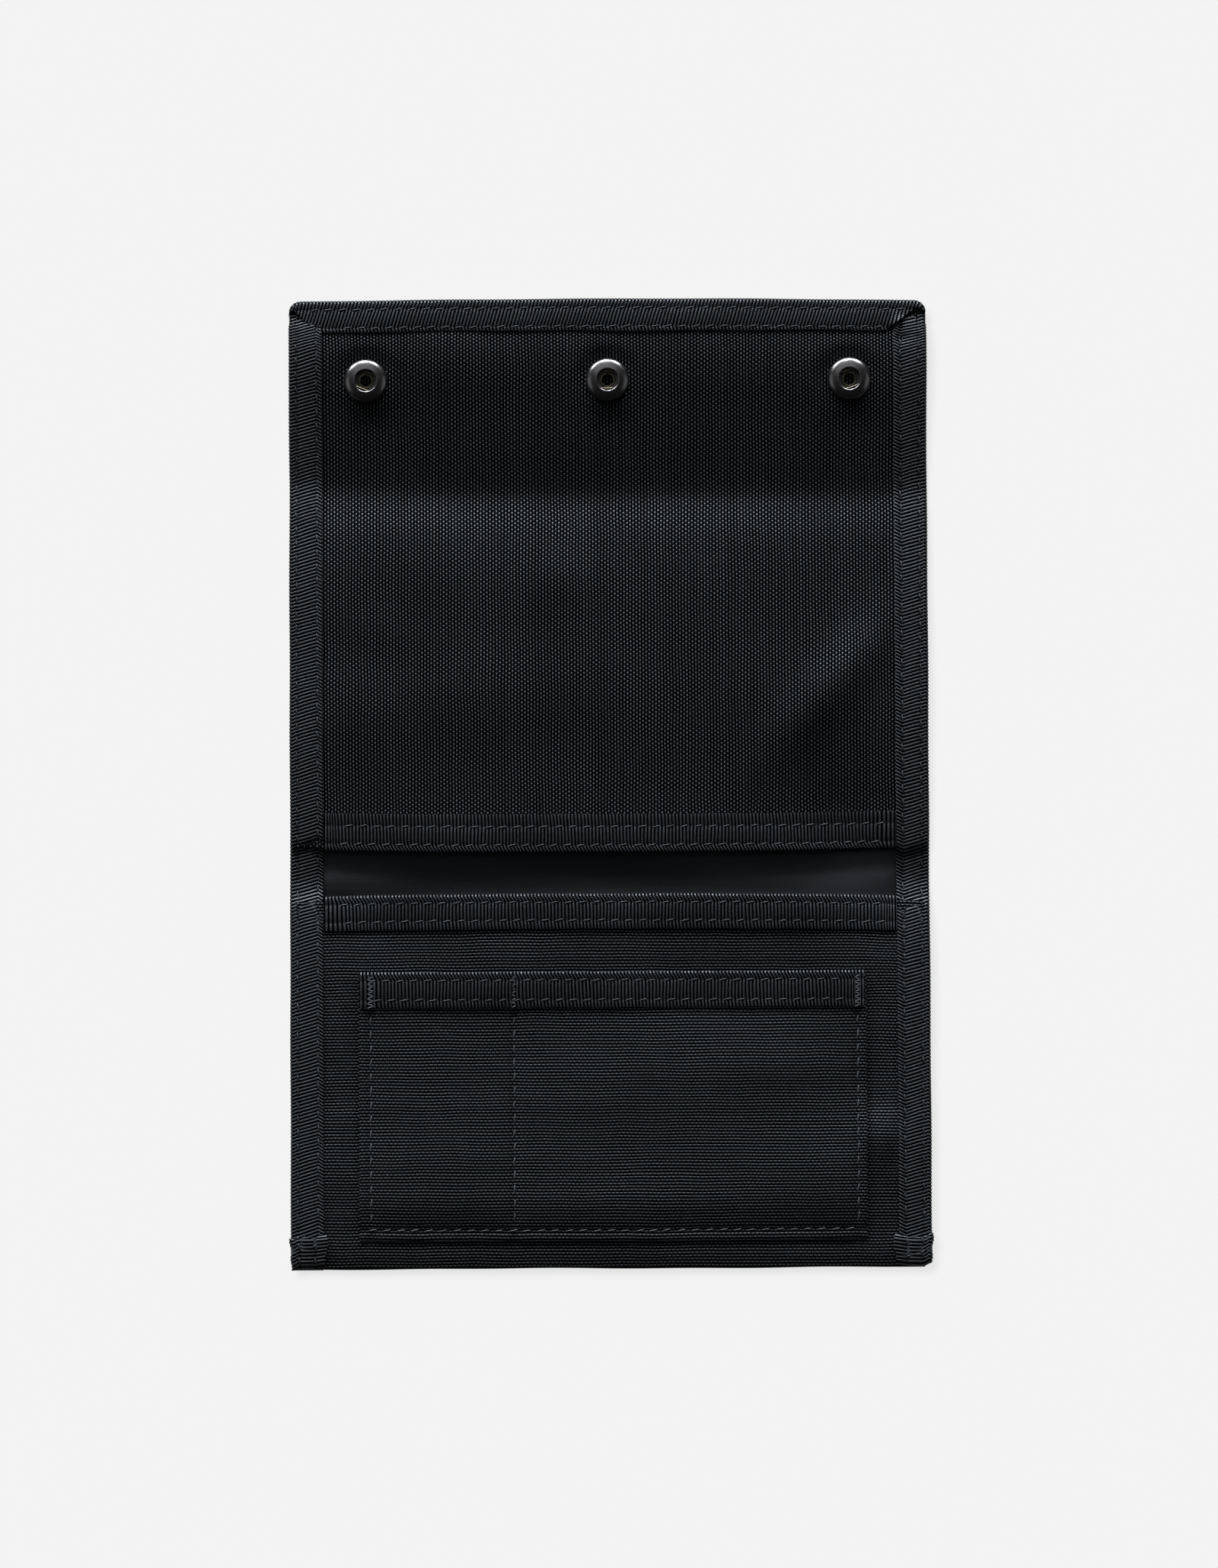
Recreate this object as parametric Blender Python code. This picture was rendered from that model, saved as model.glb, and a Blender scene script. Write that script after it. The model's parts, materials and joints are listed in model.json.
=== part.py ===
"""Trifold travel wallet for a passport and cards, lying open and flat with its inside up.

+X runs across the wallet, +Y towards the snap flap and +Z up. The origin is under the
middle of the open wallet, at the height of the snap stud tips it rests on.
The wallet folds twice: the lower panel turns up over the middle panel about the main
spine, then the flap turns over both about the flap spine and snaps onto the studs.
Each fold is a narrow spine strip between two hinge lines, which turn together.
"""
import math

import bmesh
import bpy
from mathutils import Matrix, Vector

MM = 0.001

# Open size. Lengths named *_AT are measured from the bottom edge towards the flap.
WIDTH = 160.0 * MM
LENGTH = 243.0 * MM
FLAP_CORNER_RADIUS = 3.0 * MM

# Hinge lines of the two folds
LOWER_HINGE_AT = 93.7 * MM
MIDDLE_HINGE_AT = 101.4 * MM
CREASE_HINGE_AT = 197.5 * MM
FLAP_HINGE_AT = 210.5 * MM

# Pocket mouths and the card pocket
LOWER_MOUTH_AT = 93.0 * MM
UPPER_MOUTH_AT = 104.2 * MM
CARD_MOUTH_AT = 73.7 * MM
CARD_HEM_AT = 7.4 * MM
CARD_SEAM_AT = 9.9 * MM
CARD_LEFT_X = -62.8 * MM
CARD_DIVIDER_X = -24.1 * MM
CARD_RIGHT_X = 63.9 * MM
CARD_SEAM_WIDTH = 3.0 * MM

# Tapes
SIDE_BINDING_WIDTH = 8.2 * MM
END_BINDING_WIDTH = 9.0 * MM
MOUTH_TAPE_WIDTH = 9.6 * MM
CARD_TAPE_WIDTH = 8.9 * MM
TAPE_THICKNESS = 0.4 * MM
FOLDED_END_LENGTH = 8.4 * MM
FOLDED_END_EXTRA = 0.35 * MM

# Cloth thicknesses and the clearance kept between neighbours
SHELL_THICKNESS = 0.5 * MM
SHELL_PRESSED_BY = 0.05 * MM
LINING_THICKNESS = 0.3 * MM
FRONT_THICKNESS = 0.5 * MM
POCKET_GAP = 0.7 * MM
CLEARANCE = 0.15 * MM

# Snap fasteners
SNAP_SPACING = 60.3 * MM
SOCKET_AT = 221.7 * MM
SOCKET_RADIUS = 5.45 * MM
SOCKET_HOLE_RADIUS = 2.7 * MM
SOCKET_HEIGHT = 2.6 * MM
SOCKET_WALL = 0.3 * MM
SOCKET_BASE_HOLE_RADIUS = 1.85 * MM
SOCKET_BASE_THICKNESS = 0.15 * MM
CAP_RADIUS = 6.25 * MM
CAP_HEIGHT = 1.3 * MM
POST_RADIUS = 1.7 * MM
POST_BORE_RADIUS = 1.35 * MM
POST_FLARE_RADIUS = 1.95 * MM
SPRING_WIRE_RADIUS = 0.2 * MM
SPRING_HALF_GAP = 2.15 * MM
SPRING_STRAIGHT_HALF = 2.0 * MM
SPRING_HEIGHT = 1.45 * MM
SPRING_TURNS_DEG = (-22.0, 0.0, 18.0)
STUD_HEIGHT = 2.9 * MM
STUD_FLANGE_RADIUS = 5.0 * MM
STUD_FLANGE_THICKNESS = 0.7 * MM
STUD_NECK_RADIUS = 1.7 * MM
STUD_HEAD_RADIUS = 2.5 * MM
STUD_BORE_RADIUS = 1.2 * MM
STUD_BORE_DEPTH = 1.7 * MM
STUD_POST_RADIUS = 1.0 * MM
STUD_POST_FLANGE_RADIUS = 4.6 * MM
CLOTH_HOLE_MARGIN = 0.3 * MM

# Roundness of the turned and bent shapes
TURNED_SEGMENTS = 24
WIRE_SIDES = 6
WIRE_ARC_STEPS = 8
NOSE_STEPS = 6
CORNER_STEPS = 5

# Heights of the layers
SHELL_Z = STUD_HEIGHT
SHELL_TOP_Z = SHELL_Z + SHELL_THICKNESS
LINING_Z = SHELL_TOP_Z + CLEARANCE
LINING_TOP_Z = LINING_Z + LINING_THICKNESS
FRONT_Z = LINING_TOP_Z + POCKET_GAP
FRONT_TOP_Z = FRONT_Z + FRONT_THICKNESS
CARD_TAPE_Z = FRONT_TOP_Z + CLEARANCE
CARD_Z = CARD_TAPE_Z + TAPE_THICKNESS + CLEARANCE
CARD_TOP_Z = CARD_Z + FRONT_THICKNESS
FLAP_INNER_Z = LINING_TOP_Z + CLEARANCE
FLAP_INNER_TOP_Z = FLAP_INNER_Z + FRONT_THICKNESS
SOCKET_Z = FLAP_INNER_TOP_Z + CLEARANCE
HINGE_Z = SHELL_TOP_Z

# Undersides and tops of the folded tapes
BINDING_LOW_Z = SHELL_Z - CLEARANCE - TAPE_THICKNESS
PANEL_BINDING_TOP_Z = FRONT_TOP_Z + CLEARANCE + TAPE_THICKNESS
MAIN_SPINE_BINDING_TOP_Z = LINING_TOP_Z + CLEARANCE + TAPE_THICKNESS
FLAP_BINDING_TOP_Z = FLAP_INNER_TOP_Z + CLEARANCE + TAPE_THICKNESS
MOUTH_TAPE_LOW_Z = LINING_TOP_Z + CLEARANCE
MOUTH_TAPE_TOP_Z = PANEL_BINDING_TOP_Z
CARD_TAPE_TOP_Z = CARD_TOP_Z + CLEARANCE + TAPE_THICKNESS

# The cloth stops inside the round nose of the side binding
CLOTH_HALF_WIDTH = WIDTH / 2.0 - (PANEL_BINDING_TOP_Z - BINDING_LOW_Z) / 2.0 - CLEARANCE
TAPE_HALF_LENGTH = WIDTH / 2.0 - SIDE_BINDING_WIDTH - CLEARANCE

# The studs lie where the closed flap brings its sockets
CLOSED_SOCKET_AT = CREASE_HINGE_AT - (SOCKET_AT - FLAP_HINGE_AT)
STUD_AT = MIDDLE_HINGE_AT + LOWER_HINGE_AT - CLOSED_SOCKET_AT

# Linear colour, metallic and roughness of each material
MATERIALS = {
    "shell_nylon": ((0.018, 0.019, 0.022), 0.0, 0.62),
    "coated_lining": ((0.012, 0.014, 0.017), 0.0, 0.38),
    "grosgrain_tape": ((0.021, 0.023, 0.026), 0.0, 0.60),
    "gunmetal": ((0.10, 0.10, 0.11), 1.0, 0.30),
    "plated_steel": ((0.62, 0.58, 0.50), 1.0, 0.25),
}

SNAP_SIDES = (("left", -SNAP_SPACING), ("middle", 0.0), ("right", SNAP_SPACING))


def row_y(distance_from_bottom):
    """Y of a line given by its distance from the bottom edge."""
    return distance_from_bottom - LENGTH / 2.0


def clear_scene():
    for scene_object in list(bpy.data.objects):
        bpy.data.objects.remove(scene_object, do_unlink=True)


def make_materials():
    made = {}
    for name, (color, metallic, roughness) in MATERIALS.items():
        material = bpy.data.materials.new(name)
        material.use_nodes = True
        shader = material.node_tree.nodes["Principled BSDF"]
        shader.inputs["Base Color"].default_value = (*color, 1.0)
        shader.inputs["Metallic"].default_value = metallic
        shader.inputs["Roughness"].default_value = roughness
        made[name] = material
    return made


def make_bodies():
    """Empties on the hinge axes, chained outwards from the middle panel."""
    places = {
        "middle_panel_frame": (None, row_y((MIDDLE_HINGE_AT + CREASE_HINGE_AT) / 2.0)),
        "main_spine_frame": ("middle_panel_frame", row_y(MIDDLE_HINGE_AT)),
        "lower_panel_frame": ("main_spine_frame", row_y(LOWER_HINGE_AT)),
        "flap_spine_frame": ("middle_panel_frame", row_y(CREASE_HINGE_AT)),
        "flap_frame": ("flap_spine_frame", row_y(FLAP_HINGE_AT)),
    }
    bodies = {}
    for name, (parent_name, y) in places.items():
        empty = bpy.data.objects.new(name, None)
        empty.empty_display_size = 10.0 * MM
        empty.location = (0.0, y, HINGE_Z)
        if parent_name:
            empty.parent = bodies[parent_name]
            empty.location = (0.0, y - places[parent_name][1], 0.0)
        bpy.context.scene.collection.objects.link(empty)
        bodies[name] = empty
    bpy.context.view_layer.update()
    return bodies


def attach(piece, body):
    """Parent a piece to its body's empty, keeping it where it was modelled."""
    piece.parent = body
    piece.matrix_parent_inverse = Matrix.Translation(-body.matrix_world.translation)


def mesh_object(name, bm, material, body, smooth_angle=None):
    bmesh.ops.recalc_face_normals(bm, faces=bm.faces[:])
    mesh = bpy.data.meshes.new(name)
    bm.to_mesh(mesh)
    bm.free()
    if smooth_angle is not None:
        mesh.shade_smooth()
        mesh.set_sharp_from_angle(angle=math.radians(smooth_angle))
    mesh.materials.append(material)
    piece = bpy.data.objects.new(name, mesh)
    bpy.context.scene.collection.objects.link(piece)
    attach(piece, body)
    return piece


def rectangle(x_low, x_high, y_low, y_high, top_radius=0.0):
    """Counter-clockwise outline, with the two +Y corners rounded if a radius is given."""
    points = [(x_low, y_low), (x_high, y_low)]
    if top_radius == 0.0:
        return points + [(x_high, y_high), (x_low, y_high)]
    centers = ((x_high - top_radius, 0.0), (x_low + top_radius, 90.0))
    for center_x, start_deg in centers:
        for step in range(CORNER_STEPS + 1):
            angle = math.radians(start_deg + 90.0 * step / CORNER_STEPS)
            x = center_x + top_radius * math.cos(angle)
            y = y_high - top_radius + top_radius * math.sin(angle)
            points.append((x, y))
    return points


def circle(center_x, center_y, radius):
    points = []
    for step in range(TURNED_SEGMENTS):
        angle = 2.0 * math.pi * step / TURNED_SEGMENTS
        points.append((center_x + radius * math.cos(angle), center_y + radius * math.sin(angle)))
    return points


def slab(name, outline, z_low, thickness, material, body, holes=()):
    """A flat piece of cloth: an outline with holes, filled and given its thickness."""
    bm = bmesh.new()
    edges = []
    for loop in [outline, *holes]:
        verts = [bm.verts.new((x, y, z_low)) for x, y in loop]
        for start, end in zip(verts, verts[1:] + verts[:1]):
            edges.append(bm.edges.new((start, end)))
    bmesh.ops.triangle_fill(bm, use_beauty=True, use_dissolve=False, edges=edges)
    lifted = bmesh.ops.extrude_face_region(bm, geom=bm.faces[:])
    top_verts = [item for item in lifted["geom"] if isinstance(item, bmesh.types.BMVert)]
    bmesh.ops.translate(bm, vec=(0.0, 0.0, thickness), verts=top_verts)
    return mesh_object(name, bm, material, body)


def pressed_slab(name, low_at, high_at, z_low, thickness, material, body):
    """Cloth across the wallet, pressed thinner from below where the side tapes grip it."""
    z_top = z_low + thickness
    z_pressed = z_low + SHELL_PRESSED_BY
    right = [(TAPE_HALF_LENGTH, z_low), (TAPE_HALF_LENGTH, z_pressed), (CLOTH_HALF_WIDTH, z_pressed)]
    right.append((CLOTH_HALF_WIDTH, z_top))
    profile = right + [(-x, z) for x, z in reversed(right)]
    sections = [[(x, row_y(along), z) for x, z in profile] for along in (low_at, high_at)]
    return lofted(name, sections, material, body, smooth_angle=None)


def nose_profile(leg_top, leg_low, z_low, z_top, thickness):
    """Strip folded round an edge, as (distance in from the edge, height) points."""
    radius = (z_top - z_low) / 2.0
    middle = (z_top + z_low) / 2.0
    outer = []
    inner = []
    for step in range(NOSE_STEPS + 1):
        angle = math.pi / 2.0 + math.pi * step / NOSE_STEPS
        inner_radius = radius - thickness
        outer.append((radius + radius * math.cos(angle), middle + radius * math.sin(angle)))
        inner.append((radius + inner_radius * math.cos(angle), middle + inner_radius * math.sin(angle)))
    points = [(leg_top, z_top), *outer, (leg_low, z_low), (leg_low, z_low + thickness)]
    points += list(reversed(inner))
    points.append((leg_top, z_top - thickness))
    return points


def lofted(name, sections, material, body, smooth_angle=40.0):
    """Bridge equal sections, each a closed loop of points, and cap both ends."""
    bm = bmesh.new()
    rings = [[bm.verts.new(point) for point in section] for section in sections]
    for near, far in zip(rings, rings[1:]):
        for index in range(len(near)):
            following = (index + 1) % len(near)
            bm.faces.new((near[index], near[following], far[following], far[index]))
    bm.faces.new(rings[0])
    bm.faces.new(list(reversed(rings[-1])))
    return mesh_object(name, bm, material, body, smooth_angle)


def side_binding(name, side, stations, top_z, material, body):
    """Tape folded round one long edge. Stations are (distance from bottom, extra height)."""
    sections = []
    for along, extra in stations:
        profile = nose_profile(
            SIDE_BINDING_WIDTH, SIDE_BINDING_WIDTH, BINDING_LOW_Z - extra, top_z + extra, TAPE_THICKNESS
        )
        sections.append([(side * (WIDTH / 2.0 - u), row_y(along), z) for u, z in profile])
    return lofted(name, sections, material, body)


def mouth_tape(name, edge_at, facing, width, x_low, x_high, z_low, z_top, material, body):
    """Tape folded over a pocket mouth, whose nose faces +Y (1) or -Y (-1)."""
    profile = nose_profile(width, width, z_low, z_top, TAPE_THICKNESS)
    sections = []
    for x in (x_low, x_high):
        sections.append([(x, row_y(edge_at) - facing * u, z) for u, z in profile])
    return lofted(name, sections, material, body)


def turned(name, profile, center, material, body, smooth_angle=35.0):
    """Spin a closed (radius, height) loop, or a line that starts and ends on the axis."""
    bm = bmesh.new()
    verts = [bm.verts.new((radius, 0.0, height)) for radius, height in profile]
    on_axis = profile[0][0] == 0.0 and profile[-1][0] == 0.0
    pairs = list(zip(verts, verts[1:]))
    if not on_axis:
        pairs.append((verts[-1], verts[0]))
    edges = [bm.edges.new(pair) for pair in pairs]
    bmesh.ops.spin(
        bm,
        geom=verts + edges,
        cent=(0.0, 0.0, 0.0),
        axis=(0.0, 0.0, 1.0),
        angle=2.0 * math.pi,
        steps=TURNED_SEGMENTS,
        use_merge=True,
    )
    bmesh.ops.remove_doubles(bm, verts=bm.verts[:], dist=0.001 * MM)
    piece = mesh_object(name, bm, material, body, smooth_angle)
    piece.location = center
    return piece


def snap_hole(x, along, post_radius):
    return circle(x, row_y(along), post_radius + CLOTH_HOLE_MARGIN)


def panel_rectangle(low_at, high_at, half_width=CLOTH_HALF_WIDTH, top_radius=0.0):
    return rectangle(-half_width, half_width, row_y(low_at), row_y(high_at), top_radius)


def hinge_offset(layer_top_z):
    """How far a layer stays from a hinge line so that one this high on the other side can turn up."""
    return layer_top_z - HINGE_Z + CLEARANCE


def make_lower_panel(materials, body):
    nylon = materials["shell_nylon"]
    tape = materials["grosgrain_tape"]
    fold_radius = (FRONT_TOP_Z - SHELL_Z) / 2.0
    stud_holes = [snap_hole(x, STUD_AT, STUD_POST_RADIUS) for _, x in SNAP_SIDES]
    fold_leg = fold_radius + 1.0 * MM
    shell_low_at = fold_leg + CLEARANCE
    shell_outline = panel_rectangle(shell_low_at, LOWER_HINGE_AT - CLEARANCE)
    slab("lower_outer_shell", shell_outline, SHELL_Z, SHELL_THICKNESS, nylon, body, stud_holes)
    lining_high_at = LOWER_HINGE_AT - hinge_offset(LINING_TOP_Z)
    lining_outline = panel_rectangle(fold_radius, lining_high_at)
    lining = materials["coated_lining"]
    slab("lower_lining", lining_outline, LINING_Z, LINING_THICKNESS, lining, body, stud_holes)

    nose_depth = (MOUTH_TAPE_TOP_Z - MOUTH_TAPE_LOW_Z) / 2.0
    front_length = LOWER_MOUTH_AT - nose_depth
    profile = nose_profile(front_length, fold_leg, SHELL_Z, FRONT_TOP_Z, FRONT_THICKNESS)
    sections = []
    for x in (-CLOTH_HALF_WIDTH, CLOTH_HALF_WIDTH):
        sections.append([(x, row_y(u), z) for u, z in profile])
    lofted("lower_pocket_front", sections, nylon, body)
    mouth_tape(
        "lower_pocket_tape", LOWER_MOUTH_AT, 1, MOUTH_TAPE_WIDTH,
        -TAPE_HALF_LENGTH, TAPE_HALF_LENGTH, MOUTH_TAPE_LOW_Z, MOUTH_TAPE_TOP_Z, tape, body,
    )
    make_card_pocket(nylon, tape, body)

    high_at = LOWER_HINGE_AT - hinge_offset(MAIN_SPINE_BINDING_TOP_Z)
    step_length = 0.5 * MM
    stations = (
        (0.0, FOLDED_END_EXTRA),
        (FOLDED_END_LENGTH, FOLDED_END_EXTRA),
        (FOLDED_END_LENGTH + step_length, 0.0),
        (high_at, 0.0),
    )
    side_binding("left_binding_lower", -1, stations, PANEL_BINDING_TOP_Z, tape, body)
    side_binding("right_binding_lower", 1, stations, PANEL_BINDING_TOP_Z, tape, body)
    for side_name, x in SNAP_SIDES:
        make_stud(side_name, x, materials, body)


def make_card_pocket(nylon, tape, body):
    """Card pocket with two slots: a plate on seam ridges, hollowed out from below."""
    nose_depth = (CARD_TAPE_TOP_Z - CARD_TAPE_Z) / 2.0
    plate_high_at = CARD_MOUTH_AT - nose_depth
    outline = rectangle(CARD_LEFT_X, CARD_RIGHT_X, row_y(CARD_HEM_AT), row_y(plate_high_at))
    plate = slab("card_pocket_front", outline, CARD_TAPE_Z, CARD_TOP_Z - CARD_TAPE_Z, nylon, body)
    half_seam = CARD_SEAM_WIDTH / 2.0
    past_edge = 5.0 * MM
    left_slot = (CARD_LEFT_X + CARD_SEAM_WIDTH, CARD_DIVIDER_X - half_seam, CARD_SEAM_AT + half_seam)
    right_slot = (CARD_DIVIDER_X + half_seam, CARD_RIGHT_X - CARD_SEAM_WIDTH, CARD_SEAM_AT + half_seam)
    tape_room_low_at = CARD_MOUTH_AT - CARD_TAPE_WIDTH - CLEARANCE
    tape_room = (CARD_LEFT_X - past_edge, CARD_RIGHT_X + past_edge, tape_room_low_at)
    cuts = {"left_slot": left_slot, "right_slot": right_slot, "tape_room": tape_room}
    for cut_name, (x_low, x_high, low_at) in cuts.items():
        cut_outline = rectangle(x_low, x_high, row_y(low_at), row_y(CARD_MOUTH_AT + past_edge))
        cut_low_z = CARD_TAPE_Z - 1.0 * MM
        cutter = slab("cut_" + cut_name, cut_outline, cut_low_z, CARD_Z - cut_low_z, nylon, body)
        cutter.hide_render = True
        cutter.display_type = "WIRE"
        boolean = plate.modifiers.new(cut_name, "BOOLEAN")
        boolean.operation = "DIFFERENCE"
        boolean.object = cutter
    mouth_tape(
        "card_pocket_tape", CARD_MOUTH_AT, 1, CARD_TAPE_WIDTH,
        CARD_LEFT_X, CARD_RIGHT_X, CARD_TAPE_Z, CARD_TAPE_TOP_Z, tape, body,
    )


def make_main_spine(materials, body):
    low_at = LOWER_HINGE_AT + CLEARANCE
    high_at = MIDDLE_HINGE_AT - CLEARANCE
    outline = panel_rectangle(low_at, high_at)
    slab("main_spine_shell", outline, SHELL_Z, SHELL_THICKNESS, materials["shell_nylon"], body)
    slab("main_spine_lining", outline, LINING_Z, LINING_THICKNESS, materials["coated_lining"], body)
    lining_room = hinge_offset(LINING_TOP_Z)
    stations = ((LOWER_HINGE_AT + lining_room, 0.0), (MIDDLE_HINGE_AT - lining_room, 0.0))
    tape = materials["grosgrain_tape"]
    side_binding("left_binding_main_spine", -1, stations, MAIN_SPINE_BINDING_TOP_Z, tape, body)
    side_binding("right_binding_main_spine", 1, stations, MAIN_SPINE_BINDING_TOP_Z, tape, body)


def make_middle_panel(materials, body):
    nylon = materials["shell_nylon"]
    tape = materials["grosgrain_tape"]
    shell_low_at = MIDDLE_HINGE_AT + CLEARANCE
    shell_high_at = CREASE_HINGE_AT - CLEARANCE
    pressed_slab("middle_outer_shell", shell_low_at, shell_high_at, SHELL_Z, SHELL_THICKNESS, nylon, body)
    lining_offset = hinge_offset(LINING_TOP_Z)
    lining_outline = panel_rectangle(MIDDLE_HINGE_AT + lining_offset, CREASE_HINGE_AT - lining_offset)
    slab("middle_lining", lining_outline, LINING_Z, LINING_THICKNESS, materials["coated_lining"], body)
    nose_depth = (MOUTH_TAPE_TOP_Z - MOUTH_TAPE_LOW_Z) / 2.0
    front_high_at = CREASE_HINGE_AT - hinge_offset(FLAP_INNER_TOP_Z)
    front_outline = panel_rectangle(UPPER_MOUTH_AT + nose_depth, front_high_at)
    slab("upper_pocket_front", front_outline, FRONT_Z, FRONT_THICKNESS, nylon, body)
    mouth_tape(
        "upper_pocket_tape", UPPER_MOUTH_AT, -1, MOUTH_TAPE_WIDTH,
        -TAPE_HALF_LENGTH, TAPE_HALF_LENGTH, MOUTH_TAPE_LOW_Z, MOUTH_TAPE_TOP_Z, tape, body,
    )
    stations = (
        (MIDDLE_HINGE_AT + hinge_offset(MAIN_SPINE_BINDING_TOP_Z), 0.0),
        (CREASE_HINGE_AT - hinge_offset(FLAP_BINDING_TOP_Z), 0.0),
    )
    side_binding("left_binding_middle", -1, stations, PANEL_BINDING_TOP_Z, tape, body)
    side_binding("right_binding_middle", 1, stations, PANEL_BINDING_TOP_Z, tape, body)


def make_flap_spine(materials, body):
    nylon = materials["shell_nylon"]
    tape = materials["grosgrain_tape"]
    low_at = CREASE_HINGE_AT + CLEARANCE
    high_at = FLAP_HINGE_AT - CLEARANCE
    outline = panel_rectangle(low_at, high_at)
    slab("flap_spine_shell", outline, SHELL_Z, SHELL_THICKNESS, nylon, body)
    slab("flap_spine_lining", outline, LINING_Z, LINING_THICKNESS, materials["coated_lining"], body)
    lining_room = hinge_offset(LINING_TOP_Z)
    inner_outline = panel_rectangle(CREASE_HINGE_AT + lining_room, FLAP_HINGE_AT - lining_room)
    slab("flap_spine_inner_panel", inner_outline, FLAP_INNER_Z, FRONT_THICKNESS, nylon, body)
    binding_low_at = CREASE_HINGE_AT + hinge_offset(FRONT_TOP_Z)
    binding_high_at = FLAP_HINGE_AT - hinge_offset(FLAP_INNER_TOP_Z)
    stations = ((binding_low_at, 0.0), (binding_high_at, 0.0))
    side_binding("left_binding_flap_spine", -1, stations, FLAP_BINDING_TOP_Z, tape, body)
    side_binding("right_binding_flap_spine", 1, stations, FLAP_BINDING_TOP_Z, tape, body)


def make_flap(materials, body):
    nylon = materials["shell_nylon"]
    tape = materials["grosgrain_tape"]
    holes = [snap_hole(x, SOCKET_AT, POST_RADIUS) for _, x in SNAP_SIDES]
    nose_depth = (FLAP_BINDING_TOP_Z - BINDING_LOW_Z) / 2.0
    cloth_high_at = LENGTH - nose_depth - CLEARANCE
    layers = (
        ("flap_outer_shell", CLEARANCE, SHELL_Z, SHELL_THICKNESS, nylon),
        ("flap_lining", hinge_offset(LINING_TOP_Z), LINING_Z, LINING_THICKNESS, materials["coated_lining"]),
        ("flap_inner_panel", hinge_offset(FLAP_INNER_TOP_Z), FLAP_INNER_Z, FRONT_THICKNESS, nylon),
    )
    for name, offset, z_low, thickness, material in layers:
        outline = panel_rectangle(FLAP_HINGE_AT + offset, cloth_high_at, top_radius=FLAP_CORNER_RADIUS)
        slab(name, outline, z_low, thickness, material, body, holes)
    stations = (
        (FLAP_HINGE_AT + hinge_offset(FLAP_BINDING_TOP_Z), 0.0),
        (LENGTH - END_BINDING_WIDTH - CLEARANCE, 0.0),
    )
    side_binding("left_binding_flap", -1, stations, FLAP_BINDING_TOP_Z, tape, body)
    side_binding("right_binding_flap", 1, stations, FLAP_BINDING_TOP_Z, tape, body)
    make_end_binding(tape, body)
    for (side_name, x), turn_deg in zip(SNAP_SIDES, SPRING_TURNS_DEG):
        make_socket(side_name, x, turn_deg, materials, body)


def make_end_binding(tape, body):
    """Tape folded round the flap's end, following its rounded corners."""
    straight_half = WIDTH / 2.0 - FLAP_CORNER_RADIUS
    stations = []
    for step in range(CORNER_STEPS, -1, -1):
        angle = math.pi / 2.0 * step / CORNER_STEPS
        x = straight_half + FLAP_CORNER_RADIUS * math.sin(angle)
        stations.append((-x, FLAP_CORNER_RADIUS * (1.0 - math.cos(angle))))
    stations += [(-x, drop) for x, drop in reversed(stations)]
    sections = []
    for x, drop in stations:
        leg = END_BINDING_WIDTH - drop
        profile = nose_profile(leg, leg, BINDING_LOW_Z, FLAP_BINDING_TOP_Z, TAPE_THICKNESS)
        sections.append([(x, row_y(LENGTH - drop - u), z) for u, z in profile])
    lofted("flap_end_binding", sections, tape, body)


def make_socket(side_name, x, turn_deg, materials, body):
    """Snap socket on the flap's inner face, with its spring, and the cap from outside."""
    place = (x, row_y(SOCKET_AT), SOCKET_Z)
    outer = [
        (SOCKET_RADIUS, 0.0),
        (SOCKET_RADIUS, 0.9 * MM),
        (SOCKET_RADIUS - 0.25 * MM, 1.6 * MM),
        (SOCKET_RADIUS - 0.95 * MM, 2.2 * MM),
        (SOCKET_RADIUS - 1.8 * MM, SOCKET_HEIGHT),
        (SOCKET_HOLE_RADIUS + 0.35 * MM, SOCKET_HEIGHT - 0.04 * MM),
        (SOCKET_HOLE_RADIUS, SOCKET_HEIGHT - 0.35 * MM),
    ]
    inner = [
        (SOCKET_HOLE_RADIUS + 0.25 * MM, SOCKET_HEIGHT - 0.42 * MM),
        (SOCKET_HOLE_RADIUS + 0.75 * MM, SOCKET_HEIGHT - 0.34 * MM),
        (SOCKET_RADIUS - 1.25 * MM, SOCKET_HEIGHT - 0.65 * MM),
        (SOCKET_RADIUS - 0.55 * MM, SOCKET_HEIGHT - 1.25 * MM),
        (SOCKET_RADIUS - SOCKET_WALL, 0.8 * MM),
        (SOCKET_RADIUS - SOCKET_WALL, SOCKET_BASE_THICKNESS),
        (SOCKET_BASE_HOLE_RADIUS, SOCKET_BASE_THICKNESS),
        (SOCKET_BASE_HOLE_RADIUS, 0.0),
    ]
    turned("snap_socket_" + side_name, outer + inner, place, materials["gunmetal"], body)
    make_spring("snap_spring_" + side_name, place, turn_deg, materials["plated_steel"], body)

    cap_top = SHELL_Z - CLEARANCE
    flare_low = SOCKET_Z + SOCKET_BASE_THICKNESS + 0.1 * MM
    flare_high = flare_low + 0.2 * MM
    bore_floor = cap_top - CAP_HEIGHT * 0.5
    cap_profile = [
        (0.0, bore_floor),
        (POST_BORE_RADIUS, bore_floor),
        (POST_BORE_RADIUS, flare_high),
        (POST_FLARE_RADIUS, flare_high),
        (POST_FLARE_RADIUS, flare_low),
        (POST_RADIUS, flare_low - 0.1 * MM),
        (POST_RADIUS, cap_top),
        (CAP_RADIUS - 0.3 * MM, cap_top),
        (CAP_RADIUS, cap_top - 0.3 * MM),
        (CAP_RADIUS - 0.4 * MM, cap_top - 0.75 * MM),
        (CAP_RADIUS - 1.6 * MM, cap_top - CAP_HEIGHT + 0.15 * MM),
        (CAP_RADIUS - 3.4 * MM, cap_top - CAP_HEIGHT),
        (0.0, cap_top - CAP_HEIGHT),
    ]
    cap_place = (x, row_y(SOCKET_AT), 0.0)
    turned("snap_cap_" + side_name, cap_profile, cap_place, materials["gunmetal"], body)


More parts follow.
